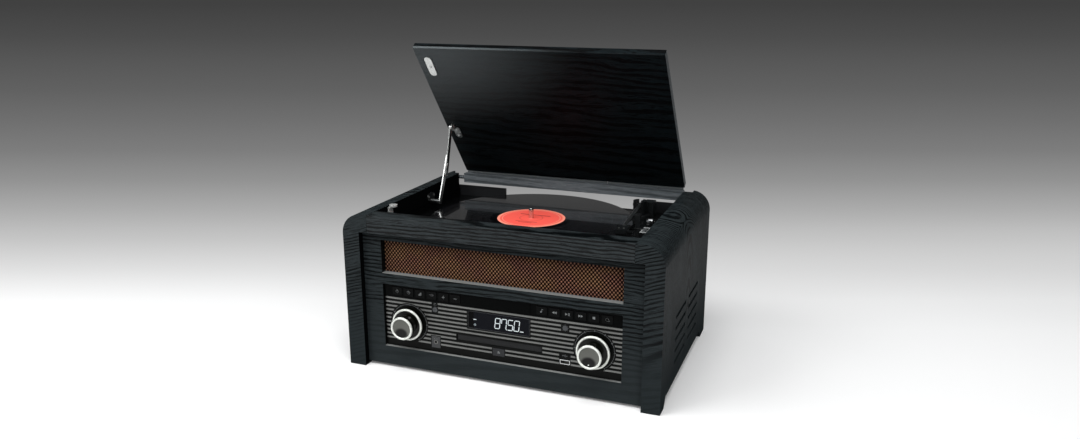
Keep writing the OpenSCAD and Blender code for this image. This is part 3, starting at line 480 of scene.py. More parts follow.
@dataclass(frozen=True)
class Plastic:
    """Moulded plastic, fine-grained or glossy, with dust in its grain."""

    name: str
    colour: Colour
    roughness: float
    grain: float = 0.02
    coat: float = 0.0
    shine: float = 0.2

    def material(self) -> bpy.types.Material:
        """Returns the plastic as a material."""
        recipe = Recipe(self.name)
        x, y, z = recipe.places()
        point = recipe.joined(x, y, z)
        grain = recipe.noise(point, 2.2, 2.0)
        cloud = recipe.noise(point, 0.03, 3.0)
        lighter = tuple(min(1.0, c * 1.3 + 0.0008) for c in self.colour)
        return recipe.done(
            Base_Color=recipe.mixed(cloud.above(0.35, 0.8) * 0.5, self.colour, lighter),
            Roughness=cloud * 0.12 + grain * 0.05 + (self.roughness - 0.08),
            Normal=recipe.bump(grain, self.grain),
            Specular_IOR_Level=self.shine,
            Coat_Weight=self.coat,
            Coat_Roughness=0.06,
        )


class Brush(Enum):
    """The axis that a metal is brushed along."""

    X = 0
    Y = 1
    Z = 2


@dataclass(frozen=True)
class Metal:
    """Brushed or polished metal with fine scratches and light tarnish."""

    name: str
    colour: Colour
    roughness: float
    brush: Brush = Brush.X
    depth: float = 0.01

    def material(self) -> bpy.types.Material:
        """Returns the metal as a material."""
        recipe = Recipe(self.name)
        stretch = [4.0, 4.0, 4.0]
        stretch[self.brush.value] = 0.12
        scaled = (place * factor for place, factor in zip(recipe.places(), stretch))
        lines = recipe.noise(recipe.joined(*scaled), 1.0, 3.0)
        x, y, z = recipe.places()
        cloud = recipe.noise(recipe.joined(x, y, z), 0.06, 3.0)
        darker = tuple(c * 0.72 for c in self.colour)
        return recipe.done(
            Base_Color=recipe.mixed(lines * 0.5 + cloud.above(0.45, 0.75) * 0.3, self.colour, darker),
            Metallic=1.0,
            Roughness=lines * 0.16 + cloud * 0.08 + (self.roughness - 0.1),
            Normal=recipe.bump(lines, self.depth),
        )


@dataclass(frozen=True)
class BrightRing:
    """Pale polished ring, turned and lacquered."""

    name: str
    colour: Colour = linear(244, 247, 240)

    def material(self) -> bpy.types.Material:
        """Returns the ring's finish as a material."""
        recipe = Recipe(self.name)
        x, y, z = recipe.places()
        turned = recipe.noise(recipe.joined(x * 0.1, y * 3.0, z * 0.1), 1.0, 2.0)
        haze = recipe.noise(recipe.joined(x, y, z), 0.2, 3.0)
        return recipe.done(
            Base_Color=recipe.mixed(haze.above(0.5, 0.8) * 0.3, self.colour, linear(214, 217, 206)),
            Metallic=0.35,
            Roughness=turned * 0.08 + haze * 0.06 + 0.14,
            Normal=recipe.bump(turned, 0.004),
            Coat_Weight=0.6,
            Coat_Roughness=0.05,
        )


@dataclass(frozen=True)
class SocketFace:
    """Dark moulded plate on the left and bright folded shell on the right."""

    name: str
    dark: Colour = linear(52, 53, 55)
    bright: Colour = linear(206, 208, 208)

    def material(self) -> bpy.types.Material:
        """Returns both finishes as one material."""
        recipe = Recipe(self.name)
        x, y, z = recipe.places()
        shell = x.above(-1.0, 1.0)
        grain = recipe.noise(recipe.joined(x, y, z), 2.4, 2.0)
        brushed = recipe.noise(recipe.joined(x * 3.0, y * 0.3, z * 3.0), 1.0, 2.0)
        plate = recipe.mixed(grain * 0.4, self.dark, linear(40, 41, 43))
        steel = recipe.mixed(brushed * 0.5, self.bright, linear(160, 162, 163))
        return recipe.done(
            Base_Color=recipe.mixed(shell, plate, steel),
            Metallic=shell,
            Roughness=grain * 0.08 + (1.0 - shell) * 0.2 + 0.22,
            Normal=recipe.bump(grain, 0.02),
        )


@dataclass(frozen=True)
class Flat:
    """Printed ink or a lit mark, a little uneven."""

    name: str
    colour: Colour
    glow: float = 0.0

    def material(self) -> bpy.types.Material:
        """Returns the ink as a material."""
        recipe = Recipe(self.name)
        x, y, z = recipe.places()
        speckle = recipe.noise(recipe.joined(x, y, z), 3.0, 2.0)
        worn = recipe.mixed(speckle.above(0.4, 0.8) * 0.35, self.colour, tuple(c * 0.6 for c in self.colour))
        sockets = {"Base_Color": worn, "Roughness": speckle * 0.2 + 0.4}
        if self.glow:
            sockets |= {"Emission_Color": worn, "Emission_Strength": self.glow}
        return recipe.done(**sockets)


@dataclass(frozen=True)
class Weave:
    """Loudspeaker cloth: slanting threads of gold, rust and black."""

    name: str
    pitch_across: float = 5.0
    pitch_up: float = 5.9

    def material(self) -> bpy.types.Material:
        """Returns the cloth as a material."""
        recipe = Recipe(self.name)
        x, _, z = recipe.places()
        across = x * (math.tau / self.pitch_across)
        up = z * (math.tau / self.pitch_up)
        check = across.sine() * up.sine()
        over = check.above(-0.15, 0.7)
        threads = abs(((across + up) * 2.0).sine()).least(abs(((across - up) * 2.0).sine()))
        cloud = recipe.noise(recipe.joined(x / 40, z / 30), 1.0, 3.0)
        fibre = recipe.noise(recipe.joined(x, z), 4.0, 3.0)
        gold = recipe.mixed(cloud.above(0.35, 0.65), linear(164, 126, 94), linear(150, 108, 92))
        rust = recipe.mixed(cloud.above(0.3, 0.7), linear(22, 7, 1), linear(18, 2, 3))
        yarn = recipe.mixed(over, rust, gold)
        shaded = recipe.mixed(threads.above(0.3, 0.0) * 0.35, yarn, linear(24, 12, 7))
        return recipe.done(
            Base_Color=recipe.mixed(fibre * 0.15, shaded, linear(30, 16, 10)),
            Roughness=fibre * 0.1 + 0.75,
            Normal=recipe.bump(over * 0.6 + threads * 0.3 + fibre * 0.1, 0.35),
            Specular_IOR_Level=0.05,
        )


@dataclass(frozen=True)
class Vinyl:
    """Pressed record: fine grooves with smooth bands between the tracks."""

    name: str
    centre: Point
    gaps: tuple[float, ...] = (71.0, 88.0, 103.5, 119.0, 134.0)

    def material(self) -> bpy.types.Material:
        """Returns the vinyl as a material."""
        recipe = Recipe(self.name)
        x, y, _ = recipe.places()
        across = x - self.centre[0]
        back = y - self.centre[1]
        radius = (across * across + back * back).root()
        smooth = radius.above(61.0, 60.0).most(radius.above(146.5, 147.0))
        for gap in self.gaps:
            smooth = smooth.most(abs(radius - gap).above(1.0, 0.6))
        wobble = recipe.noise(recipe.joined(radius, 0.0, 0.0), 1.7, 4.0, 0.7)
        loud = recipe.noise(recipe.joined(radius, 0.0, 0.0), 0.22, 2.0)
        dust = recipe.noise(recipe.joined(across, back, 0.0), 0.9, 4.0)
        cut = (1.0 - smooth) * wobble
        tone = recipe.mixed(loud.above(0.35, 0.7), linear(9, 9, 11), linear(20, 20, 23))
        tone = recipe.mixed(smooth * 0.7, tone, linear(6, 6, 8))
        return recipe.done(
            Base_Color=recipe.mixed(dust.above(0.66, 0.8) * 0.2, tone, linear(90, 90, 92)),
            Roughness=(1.0 - smooth) * 0.12 + loud * 0.06 + dust * 0.04 + 0.08,
            Normal=recipe.bump(cut, 0.012),
            Specular_IOR_Level=1.0,
            Coat_Weight=1.0,
            Coat_Roughness=0.03,
        )


@dataclass(frozen=True)
class Paper:
    """Printed record label: plain rings and blocks round the hole."""

    name: str
    centre: Point

    def material(self) -> bpy.types.Material:
        """Returns the label as a material."""
        recipe = Recipe(self.name)
        x, y, _ = recipe.places()
        across = x - self.centre[0]
        back = y - self.centre[1]
        radius = (across * across + back * back).root()
        fibre = recipe.noise(recipe.joined(across, back, 0.0), 1.4, 4.0)
        red = recipe.mixed(fibre, linear(255, 102, 88), linear(250, 90, 78))
        rim = radius.above(45.6, 46.6)
        thin = abs(radius - 42.5).above(0.7, 0.3)
        press = abs(radius - 17.0).above(0.9, 0.3)
        tone = recipe.mixed(rim * 0.9, red, linear(255, 160, 136))
        tone = recipe.mixed(thin * 0.7, tone, linear(255, 186, 166))
        band = abs(back - 17.0).above(1.5, 1.1) * abs(across).above(24.0, 23.0)
        lower = abs(back + 21.0).above(1.0, 0.7) * abs(across).above(17.0, 16.0)
        lowest = abs(back + 26.0).above(1.0, 0.7) * abs(across).above(11.0, 10.0)
        ink = band.most(lower).most(lowest)
        tone = recipe.mixed(ink * 0.85, tone, linear(120, 24, 30))
        tone = recipe.mixed(press * 0.4, tone, linear(150, 40, 40))
        return recipe.done(
            Base_Color=tone,
            Roughness=fibre * 0.15 + 0.55,
            Normal=recipe.bump(fibre * 0.3 - press * 0.7 + 0.7, 0.15),
            Specular_IOR_Level=0.25,
        )


@dataclass(frozen=True)
class KnobCap:
    """Dark turned knob: glossy barrel, satin dished cap with a painted dark reflection low on it, and turned lines."""

    name: str
    centre: Point
    cap: Colour
    cap_radius: float

    def material(self) -> bpy.types.Material:
        """Returns the knob as a material, with a painted dark reflection low on its cap."""
        recipe = Recipe(self.name)
        x, y, z = recipe.places()
        across = x - self.centre[0]
        up = z - self.centre[1]
        # Painted dark reflection: a soft dark patch below the cap's middle.
        aside, low_down = across + 1.0, up + 8.0
        cloud = (aside * aside * 0.6 + low_down * low_down).root().above(9.5, 5.5)
        radius = (across * across + up * up).root()
        front = low("volume_knob").y + 2.4
        cap = y.above(front + 0.1, front - 0.1) * radius.above(self.cap_radius, self.cap_radius - 0.3)
        turned = recipe.noise(recipe.joined(radius, y * 0.6, 0.0), 2.6, 3.0)
        dust = recipe.noise(recipe.joined(x, y, z), 0.5, 3.0)
        dark = recipe.mixed(dust * 0.5, linear(8, 9, 5), linear(5, 5, 4))
        face = recipe.mixed(turned * 0.35, self.cap, tuple(c * 0.6 for c in self.cap))
        # Paints the dark reflection onto the cap.
        face = recipe.mixed(cloud * 0.95, face, linear(14, 13, 15))
        return recipe.done(
            Base_Color=recipe.mixed(cap, dark, face),
            Metallic=cap * 0.4,
            Roughness=cap * 0.2 + turned * 0.06 + 0.14,
            Normal=recipe.bump(turned, 0.02),
            Specular_IOR_Level=0.12,
            Coat_Weight=0.12,
            Coat_Roughness=0.08,
        )


@dataclass(frozen=True)
class Turntable:
    """Ribbed rubber mat over the platter, with a bright spindle."""

    name: str
    centre: Point

    def material(self) -> bpy.types.Material:
        """Returns the platter's finish as a material."""
        recipe = Recipe(self.name)
        x, y, z = recipe.places()
        across = x - self.centre[0]
        back = y - self.centre[1]
        radius = (across * across + back * back).root()
        spindle = radius.above(6.0, 5.0)
        ribs = (radius * 2.1).sine() * 0.5 + 0.5
        dust = recipe.noise(recipe.joined(x, y, z), 0.6, 3.0)
        rubber = recipe.mixed(dust * 0.6, linear(26, 27, 29), linear(42, 43, 45))
        return recipe.done(
            Base_Color=recipe.mixed(spindle, rubber, linear(214, 214, 210)),
            Metallic=spindle,
            Roughness=(1.0 - spindle) * 0.5 + dust * 0.1 + 0.15,
            Normal=recipe.bump(ribs, 0.3),
        )


@dataclass(frozen=True)
class Smoked:
    """Smoked window of the display, with a blacker band at its left."""

    name: str
    band_end: float

    def material(self) -> bpy.types.Material:
        """Returns the window as a material."""
        recipe = Recipe(self.name)
        x, y, z = recipe.places()
        haze = recipe.noise(recipe.joined(x, y, z), 0.08, 2.0)
        glass = recipe.mixed(haze * 0.6, linear(16, 17, 22), linear(22, 24, 30))
        return recipe.done(
            Base_Color=recipe.mixed(x.above(self.band_end + 0.2, self.band_end), glass, linear(5, 5, 6)),
            Roughness=haze * 0.05 + 0.08,
            Specular_IOR_Level=0.03,
            Coat_Weight=0.03,
            Coat_Roughness=0.03,
        )


class Shape:
    """Faces collected into one mesh, with places in millimetres."""

    def __init__(self) -> None:
        """Starts an empty mesh."""
        self.mesh = bmesh.new()

    def face(self, points: Iterable[Sequence[float]]) -> None:
        """Adds one face through points."""
        self.mesh.faces.new([self.mesh.verts.new(Vector(p) * MM) for p in points])

    def prism(self, outline: Sequence[Point], base: Vector, right: Vector, up: Vector, rise: float) -> None:
        """Adds a prism.

        Args:
            outline: Its outline in the plane of right and up.
            base: The outline's origin.
            right: Direction of the first coordinate.
            up: Direction of the second coordinate.
            rise: Its height along right cross up.
        """
        outward = right.cross(up) * rise
        bottom = [base + right * a + up * b for a, b in outline]
        top = [p + outward for p in bottom]
        self.face(reversed(bottom))
        self.face(top)
        count = len(outline)
        for i in range(count):
            j = (i + 1) % count
            self.face([bottom[i], bottom[j], top[j], top[i]])

    def lathe(self, profile: Sequence[Point], base: Vector, axis: Vector, steps: int = 48) -> None:
        """Turns a profile of radius and height round an axis.

        Args:
            profile: Points of radius and height, from the bottom up.
            base: Where height 0 lies on the axis.
            axis: Direction of the axis.
            steps: Number of steps round it.
        """
        axis = axis.normalized()
        side = axis.orthogonal().normalized()
        other = axis.cross(side)
        rings = []
        for radius, height in profile:
            angles = (math.tau * k / steps for k in range(steps))
            turned = (side * math.cos(a) + other * math.sin(a) for a in angles)
            rings.append([self.mesh.verts.new((base + axis * height + d * radius) * MM) for d in turned])
        for below, above in zip(rings, rings[1:]):
            for k in range(steps):
                n = (k + 1) % steps
                self.mesh.faces.new((below[k], below[n], above[n], above[k]))
        self.mesh.faces.new(list(reversed(rings[0])))
        self.mesh.faces.new(rings[-1])

    def tube(self, profile: Sequence[Point], base: Vector, axis: Vector, steps: int = 40) -> None:
        """Turns a closed profile of radius and height into a ring.

        Args:
            profile: The closed section.
            base: Where height 0 lies on the axis.
            axis: The ring's axis.
            steps: Number of steps round it.
        """
        side = axis.orthogonal().normalized()
        other = axis.cross(side)
        loops = []
        for k in range(steps):
            angle = math.tau * k / steps
            outward = side * math.cos(angle) + other * math.sin(angle)
            loops.append([self.mesh.verts.new((base + axis * h + outward * r) * MM) for r, h in profile])
        for k in range(steps):
            here, there = loops[k], loops[(k + 1) % steps]
            for i in range(len(profile)):
                j = (i + 1) % len(profile)
                self.mesh.faces.new((here[i], here[j], there[j], there[i]))

    def stroke(self, line: Sequence[Point], width: float, base: Vector, right: Vector, up: Vector, rise: float) -> None:
        """Adds a thin raised line.

        Args:
            line: The line's points in the plane of right and up.
            width: Its width.
            base: The plane's origin.
            right: Direction of the first coordinate.
            up: Direction of the second coordinate.
            rise: How far it stands out.
        """
        half = width / 2
        for (ax, ay), (bx, by) in zip(line, line[1:]):
            length = math.hypot(bx - ax, by - ay)
            ux, uy = (bx - ax) / length * half, (by - ay) / length * half
            corners = [
                (ax - ux + uy, ay - uy - ux),
                (bx + ux + uy, by + uy - ux),
                (bx + ux - uy, by + uy + ux),
                (ax - ux - uy, ay - uy + ux),
            ]
            self.prism(corners, base, right, up, rise)

    def piece(
        self, name: str, body: str, material: bpy.types.Material, slot: str | None = None, bevel: float = 0.0
    ) -> bpy.types.Object:
        """Makes the object and lets it ride on a body.

        Args:
            name: The piece's name.
            body: The CAD body that it moves with.
            material: Its finish.
            slot: The record's material slot, if it has one; not used.
            bevel: Width of its rounded edges in millimetres.

        Returns:
            The object.
        """
        bmesh.ops.remove_doubles(self.mesh, verts=self.mesh.verts, dist=1e-7)
        bmesh.ops.recalc_face_normals(self.mesh, faces=self.mesh.faces)
        data = bpy.data.meshes.new(name)
        self.mesh.to_mesh(data)
        self.mesh.free()
        made = bpy.data.objects.new(name, data)
        bpy.context.scene.collection.objects.link(made)
        made.data.materials.append(material)
        if bevel:
            add_bevel(made, bevel)
        data.shade_smooth()
        data.set_sharp_from_angle(angle=math.radians(35))
        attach(made, body)
        LOG.info("piece %s rides on %s", name, body)
        return made


def add_bevel(piece: bpy.types.Object, width: float) -> None:
    """Rounds a piece's edges by a width in millimetres."""
    modifier = piece.modifiers.new("edges", "BEVEL")
    modifier.width = width * MM
    modifier.segments = 2
    modifier.limit_method = "ANGLE"
    modifier.angle_limit = math.radians(40)
    modifier.harden_normals = True


def soften(node: str, width: float) -> None:
    """Rounds the sharp edges of a CAD node.

    Args:
        node: The node's name.
        width: Width of the rounding in millimetres.
    """
    thing = frame["nodes"][node]
    weld = thing.modifiers.new("weld", "WELD")
    weld.merge_threshold = 1e-6
    add_bevel(thing, width)


def dress(material: bpy.types.Material, *nodes: str) -> None:
    """Gives CAD nodes their finish."""
    for node in nodes:
        slots = frame["nodes"][node].data.materials
        slots.clear()
        slots.append(material)
        LOG.info("node %s wears %s", node, material.name)


X = Vector((1, 0, 0))
Y = Vector((0, 1, 0))
Z = Vector((0, 0, 1))


def arc(centre: Point, radius: float, start: float, stop: float, steps: int = 16) -> list[Point]:
    """Returns points along a circle.

    Args:
        centre: The circle's centre.
        radius: Its radius.
        start: First angle in degrees.
        stop: Last angle in degrees.
        steps: Number of steps.

    Returns:
        The points.
    """
    angles = (math.radians(start + (stop - start) * k / steps) for k in range(steps + 1))
    return [(centre[0] + radius * math.cos(a), centre[1] + radius * math.sin(a)) for a in angles]


def screw(shape: Shape, head: Vector, axis: Vector, radius: float) -> None:
    """Adds a domed screw head with a raised cross.

    Args:
        shape: Where it is added.
        head: The middle of its seat.
        axis: The way it faces.
        radius: Its radius.
    """
    rise = radius * 0.42
    profile = [(radius, 0), (radius, rise * 0.45), (radius * 0.8, rise * 0.85), (radius * 0.42, rise)]
    shape.lathe(profile, head, axis, 20)
    side = axis.orthogonal().normalized()
    slot = radius * 0.16
    arm = radius * 0.34
    for right in (side, axis.cross(side)):
        up = axis.cross(right)
        shape.prism([(-arm, -slot), (arm, -slot), (arm, slot), (-arm, slot)], head + axis * rise, right, up, 0.05)


@dataclass
class Cabinet:
    """Wooden case with its baffle, rail, cloth and rear board."""

    edge: float = 0.7
    screw_radius: float = 3.2
    cloth_columns: int = 180
    cloth_rows: int = 26
    cloth_swell: float = 0.5
    cloth_lap: float = 2.0

    def build(self) -> None:
        """Dresses the case and adds what it carries."""
        top = high("front_top_rail")
        board = high("front_baffle")
        lining = Lining(top.x, top.y, top.z, board.x, low("left_side").y)
        sides = Veneer(
            "side_veneer", Layout.WRAPPED, dark=linear(12, 15, 16), ring=4.2, pith=60.0, figure=0.6,
            calm_below=120.0, paint=lining, polish=0.14, polish_fades=True, shine=0.0,
        )
        front = Veneer(
            "front_veneer", Layout.ALONG_X, ring=4.6, pith=90.0, sway=14.0, paint=lining, polish=0.2
        )
        sills = low("fascia").z, low("grille_cloth").z + self.cloth_lap
        reveal = Reveal(low("front_baffle").y, sills)
        baffle = Veneer(
            "baffle_veneer", Layout.ALONG_X, dark=linear(8, 11, 12), ring=5.0, pith=70.0, figure=0.7, shift=310.0,
            calm_below=130.0, paint=reveal,
        )
        rail = Veneer("rail_veneer", Layout.ALONG_X, linear(112, 118, 122), linear(66, 71, 74), sway=6.0, figure=0.5)
        dress(sides.material(), "left_side", "right_side")
        dress(front.material(), "front_top_rail")
        dress(baffle.material(), "front_baffle")
        dress(rail.material(), "rear_rail")
        dress(Plastic("rear_board_paint", linear(24, 25, 27), 0.7, 0.05).material(), "back_panel", "bottom_panel")
        for node in ("left_side", "right_side", "front_top_rail", "front_baffle", "rear_rail"):
            soften(node, self.edge)
        self.cloth()
        self.rear_fittings()

    def cloth(self) -> None:
        """Stretches the loudspeaker cloth over its board."""
        lowest, highest = low("grille_cloth"), high("grille_cloth")
        inset = 0.3
        width = highest.x - lowest.x - 2 * inset
        height = highest.z - lowest.z - 2 * inset
        shape = Shape()
        rows = []
        for j in range(self.cloth_rows + 1):
            row = []
            for i in range(self.cloth_columns + 1):
                a, b = i / self.cloth_columns, j / self.cloth_rows
                swell = self.cloth_swell * (math.sin(math.pi * a) * math.sin(math.pi * b)) ** 0.4
                ripple = 0.05 * math.sin(a * 93.0 + math.sin(b * 7.0)) * math.sin(b * 11.0)
                y = lowest.y + 0.9 - swell - ripple * (0.2 + swell)
                place = Vector((lowest.x + inset + width * a, y, lowest.z + inset + height * b))
                row.append(shape.mesh.verts.new(place * MM))
            rows.append(row)
        for below, above in zip(rows, rows[1:]):
            for k in range(self.cloth_columns):
                shape.mesh.faces.new((below[k], below[k + 1], above[k + 1], above[k]))
        cloth = shape.piece("woven_cloth", "cabinet", Weave("woven_cloth").material(), "woven_cloth")
        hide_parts("grille_cloth")

    def rear_fittings(self) -> None:
        """Adds the rear board's screws and the coloured rings of the line sockets."""
        board_low, board_high = low("back_panel"), high("back_panel")
        steel = Metal("black_screw", linear(90, 90, 92), 0.4).material()
        shape = Shape()
        inset = 9.0
        for x in (board_low.x + inset, board_low.x * 0.4, board_high.x * 0.4, board_high.x - inset):
            screw(shape, Vector((x, board_high.y, board_low.z + inset)), Y, self.screw_radius)
        for x in (board_low.x + inset, board_high.x - inset):
            screw(shape, Vector((x, board_high.y, board_high.z - inset)), Y, self.screw_radius)
        shape.piece("rear_screws", "cabinet", steel)
        sockets = Plastic("socket_black", linear(16, 16, 17), 0.35).material()
        dress(sockets, "rear_sockets")
        lip_y = board_high.y + 1.5
        colours = {"white": linear(226, 226, 222), "red": linear(196, 30, 34)}
        for (word, colour), x in zip(colours.items(), (-117.0, -103.0)):
            ring = Shape()
            profile = [(4.2, 0), (5.4, 0), (5.4, 1.1), (5.0, 1.5), (4.2, 1.5)]
            ring.tube(profile, Vector((x, lip_y, 60.0)), Y)
            ring.piece(f"line_ring_{word}", "cabinet", Plastic(f"ring_{word}", colour, 0.35).material())


class Icon(Enum):
    """Plain signs on the keys."""

    POWER = "power"
    NOTE = "note"
    CLOCK = "clock"
    BARS = "bars"
    WAVES = "waves"
    LOOP = "loop"
    BACK = "back"
    FORWARD = "forward"
    PLAY = "play"
    STOP = "stop"
    PLUS = "plus"
    MINUS = "minus"

    def solids(self) -> list[list[Point]]:
        """Returns the sign's filled outlines."""
        triangle = [(-1.0, -1.3), (1.2, 0.0), (-1.0, 1.3)]
        if self is Icon.BACK:
            return [[(-x - d, z) for x, z in reversed(triangle)] for d in (-1.1, 1.1)]
        if self is Icon.FORWARD:
            return [[(x + d, z) for x, z in triangle] for d in (-1.1, 1.1)]
        if self is Icon.PLAY:
            return [[(x - 1.2, z) for x, z in triangle]]
        if self is Icon.STOP:
            return [[(-1.2, -1.2), (1.2, -1.2), (1.2, 1.2), (-1.2, 1.2)]]
        if self is Icon.NOTE:
            return [arc((-0.7, -1.1), 0.75, 0, 340, 12)]
        return []

    def lines(self) -> list[list[Point]]:
        """Returns the sign's thin lines."""
        plans = {
            Icon.POWER: [arc((0, -0.2), 1.4, 125, 415), [(0, 0), (0, 1.8)]],
            Icon.NOTE: [[(0.05, -1.0), (0.05, 1.7), (1.2, 1.1)]],
            Icon.CLOCK: [arc((0, 0), 1.5, 0, 360), [(0, 1.0), (0, 0), (0.8, 0)]],
            Icon.BARS: [[(x, -1.3), (x, -1.3 + h)] for x, h in ((-1.2, 1.0), (-0.4, 1.7), (0.4, 2.4), (1.2, 3.0))],
            Icon.WAVES: [arc((0, -1.2), r, 45, 135, 8) for r in (0.9, 1.8, 2.7)],
            Icon.LOOP: [arc((0, 0), 1.4, 30, 330), [(0.7, -1.3), (1.3, -0.6), (1.9, -1.2)]],
            Icon.PLAY: [[(0.9, -1.2), (0.9, 1.2)], [(1.8, -1.2), (1.8, 1.2)]],
            Icon.PLUS: [[(-1.3, 0), (1.3, 0)], [(0, -1.3), (0, 1.3)]],
            Icon.MINUS: [[(-1.3, 0), (1.3, 0)]],
        }
        return plans.get(self, [])


def print_icon(shape: Shape, icon: Icon, middle_point: Vector, scale: float, rise: float = 0.05) -> None:
    """Prints a sign on a face that looks forward.

    Args:
        shape: Where it is added.
        icon: The sign.
        middle_point: Its middle.
        scale: Its size against the plan.
        rise: How far it stands out.
    """
    for outline in icon.solids():
        shape.prism([(x * scale, z * scale) for x, z in outline], middle_point, X, Z, rise)
    for line in icon.lines():
        shape.stroke([(x * scale, z * scale) for x, z in line], 0.45 * scale, middle_point, X, Z, rise)


@dataclass
class ControlPanel:
    """Striped front panel with keys, display, slot, sockets and knobs."""

    left_icons: tuple[Icon, ...] = (Icon.MINUS, Icon.PLUS, Icon.WAVES, Icon.BARS, Icon.CLOCK, Icon.POWER)
    right_icons: tuple[Icon, ...] = (Icon.NOTE, Icon.BACK, Icon.PLAY, Icon.FORWARD, Icon.STOP, Icon.LOOP)
    icon_scale: float = 1.4
    digit_height: float = 14.5
    digit_width: float = 7.0
    digit_stroke: float = 1.15
    digit_slant: float = 0.12
    ring_radius: float = 26.6
    data_width: float = 13.6

    def build(self) -> None:
        """Dresses the panel and adds its printed and small pieces."""
        dress(Plastic("panel_black", linear(8, 9, 8), 0.38, 0.03, shine=0.08).material(), "fascia")
        stripes = Metal("stripe_metal", linear(118, 119, 117), 0.34, Brush.X).material()
        dress(stripes, "trim_stripes")
        dress(Plastic("gloss_strip", linear(3, 4, 4), 0.14, 0.0, shine=0.03).material(), "key_strip")
        dress(Plastic("flap_black", linear(27, 28, 29), 0.5, 0.04).material(), "cd_flap", "cd_mechanism")
        dress(Plastic("eject_grey", linear(44, 45, 47), 0.35).material(), "eject_key")
        dress(SocketFace("socket_faces").material(), "front_sockets")
        dress(Metal("bush_metal", linear(168, 168, 166), 0.3, Brush.Y).material(), "knob_encoders")
        dress(Plastic("lens_grey", linear(70, 72, 74), 0.2, 0.0).material(), "indicator_lenses")
        dress(Plastic("speaker_black", linear(26, 26, 27), 0.6).material(), "speakers")
        self.ink = Flat("printed_ink", linear(124, 127, 128)).material()
        self.keys()
        self.display()
        self.knobs()
        self.sockets()

    def keys(self) -> None:
        """Dresses the keys and prints their signs."""
        plastic = Plastic("key_black", linear(8, 9, 9), 0.22, 0.01, shine=0.05).material()
        for side, icons in (("left", self.left_icons), ("right", self.right_icons)):
            for number, icon in enumerate(icons, 1):
                node = f"key_{side}_{number}"
                dress(plastic, node)
                soften(node, 0.35)
                place = middle(node)
                place.y = low(node).y
                shape = Shape()
                print_icon(shape, icon, place, self.icon_scale)
                shape.piece(f"sign_{side}_{number}", f"{node}_body", self.ink)
        place = middle("eject_key")
        place.y = low("eject_key").y
        shape = Shape()
        shape.prism([(-2.0, 0.0), (2.0, 0.0), (0.0, 2.0)], place, X, Z, 0.05)
        shape.stroke([(-1.8, -1.1), (1.8, -1.1)], 0.6, place, X, Z, 0.05)
        shape.piece("sign_eject", "eject", self.ink)
        soften("eject_key", 0.4)

    def segments(self, lit: str) -> list[list[Point]]:
        """Returns the outlines of a digit's lit bars.

        Args:
            lit: Letters a to g of the bars that are lit.

        Returns:
            One outline per bar.
        """
        w, h, t = self.digit_width, self.digit_height / 2, self.digit_stroke
        gap = 0.25

        def across(z: float) -> list[Point]:
            """Returns a level bar."""
            ends = ((0, 0), (t / 2, t / 2), (w - t / 2, t / 2), (w, 0), (w - t / 2, -t / 2), (t / 2, -t / 2))
            return [(min(max(x, gap), w - gap), z + dz) for x, dz in ends]

        def upright(x: float, z: float) -> list[Point]:
            """Returns a standing bar."""
            half = t / 2
            ends = ((0, gap), (half, half + gap), (half, h - half - gap))
            return [(x + dx, z + dz) for dx, dz in (*ends, (0, h - gap), (-half, h - half - gap), (-half, half + gap))]

        bars = {
            "a": across(2 * h), "b": upright(w, h), "c": upright(w, 0), "d": across(0),
            "e": upright(0, 0), "f": upright(0, h), "g": across(h),
        }
        return [[(x + z * self.digit_slant, z) for x, z in bars[k]] for k in lit]

    def display(self) -> None:
        """Dresses the display and lights its figures."""
        dress(Plastic("display_board", linear(26, 29, 30), 0.6, 0.0, shine=0.05).material(), "display_module")
        dress(Smoked("smoked_window", low("display_window").x + 9.0).material(), "display_window")
        window = middle("display_window")
        y = low("display_window").y
        glow = Flat("lit_figures", linear(206, 214, 218), 0.35).material()
        shape = Shape()
        figures = ("abcdefg", "abcf", "acdfg", "abcdef")
        starts = (-5.5, 3.6, 13.0, 22.0)
        base_z = window.z - self.digit_height / 2 - 0.3
        for lit, start in zip(figures, starts):
            for outline in self.segments(lit):
                shape.prism(outline, Vector((start, y, base_z)), X, Z, 0.04)
        dot = [(-0.6, -0.6), (0.6, -0.6), (0.6, 0.6), (-0.6, 0.6)]
        shape.prism(dot, Vector((12.0, y, base_z)), X, Z, 0.04)
        for x, z, w in ((-36.0, 1.0, 3.4), (31.5, -7.5, 4.2)):
            shape.stroke([(x, z), (x + w, z)], 1.1, Vector((0, y, window.z)), X, Z, 0.04)
        shape.stroke(arc((-34.3, -6.5), 1.2, 0, 360, 12), 0.45, Vector((0, y, window.z)), X, Z, 0.04)
        shape.piece("display_figures", "cabinet", glow)
        frame_shape = Shape()
        half_w = (high("display_window").x - low("display_window").x) / 2
        half_h = (high("display_window").z - low("display_window").z) / 2
        outer = [(-half_w, -half_h), (half_w, -half_h), (half_w, half_h), (-half_w, half_h), (-half_w, -half_h)]
        inner = [(x * 0.985, z * 0.95) for x, z in outer]
        frame_shape.stroke(inner, 0.35, Vector((0, low("display_window").y, window.z)), X, Z, 0.04)
        frame_shape.piece("display_line", "cabinet", Flat("dim_line", linear(60, 62, 64)).material())

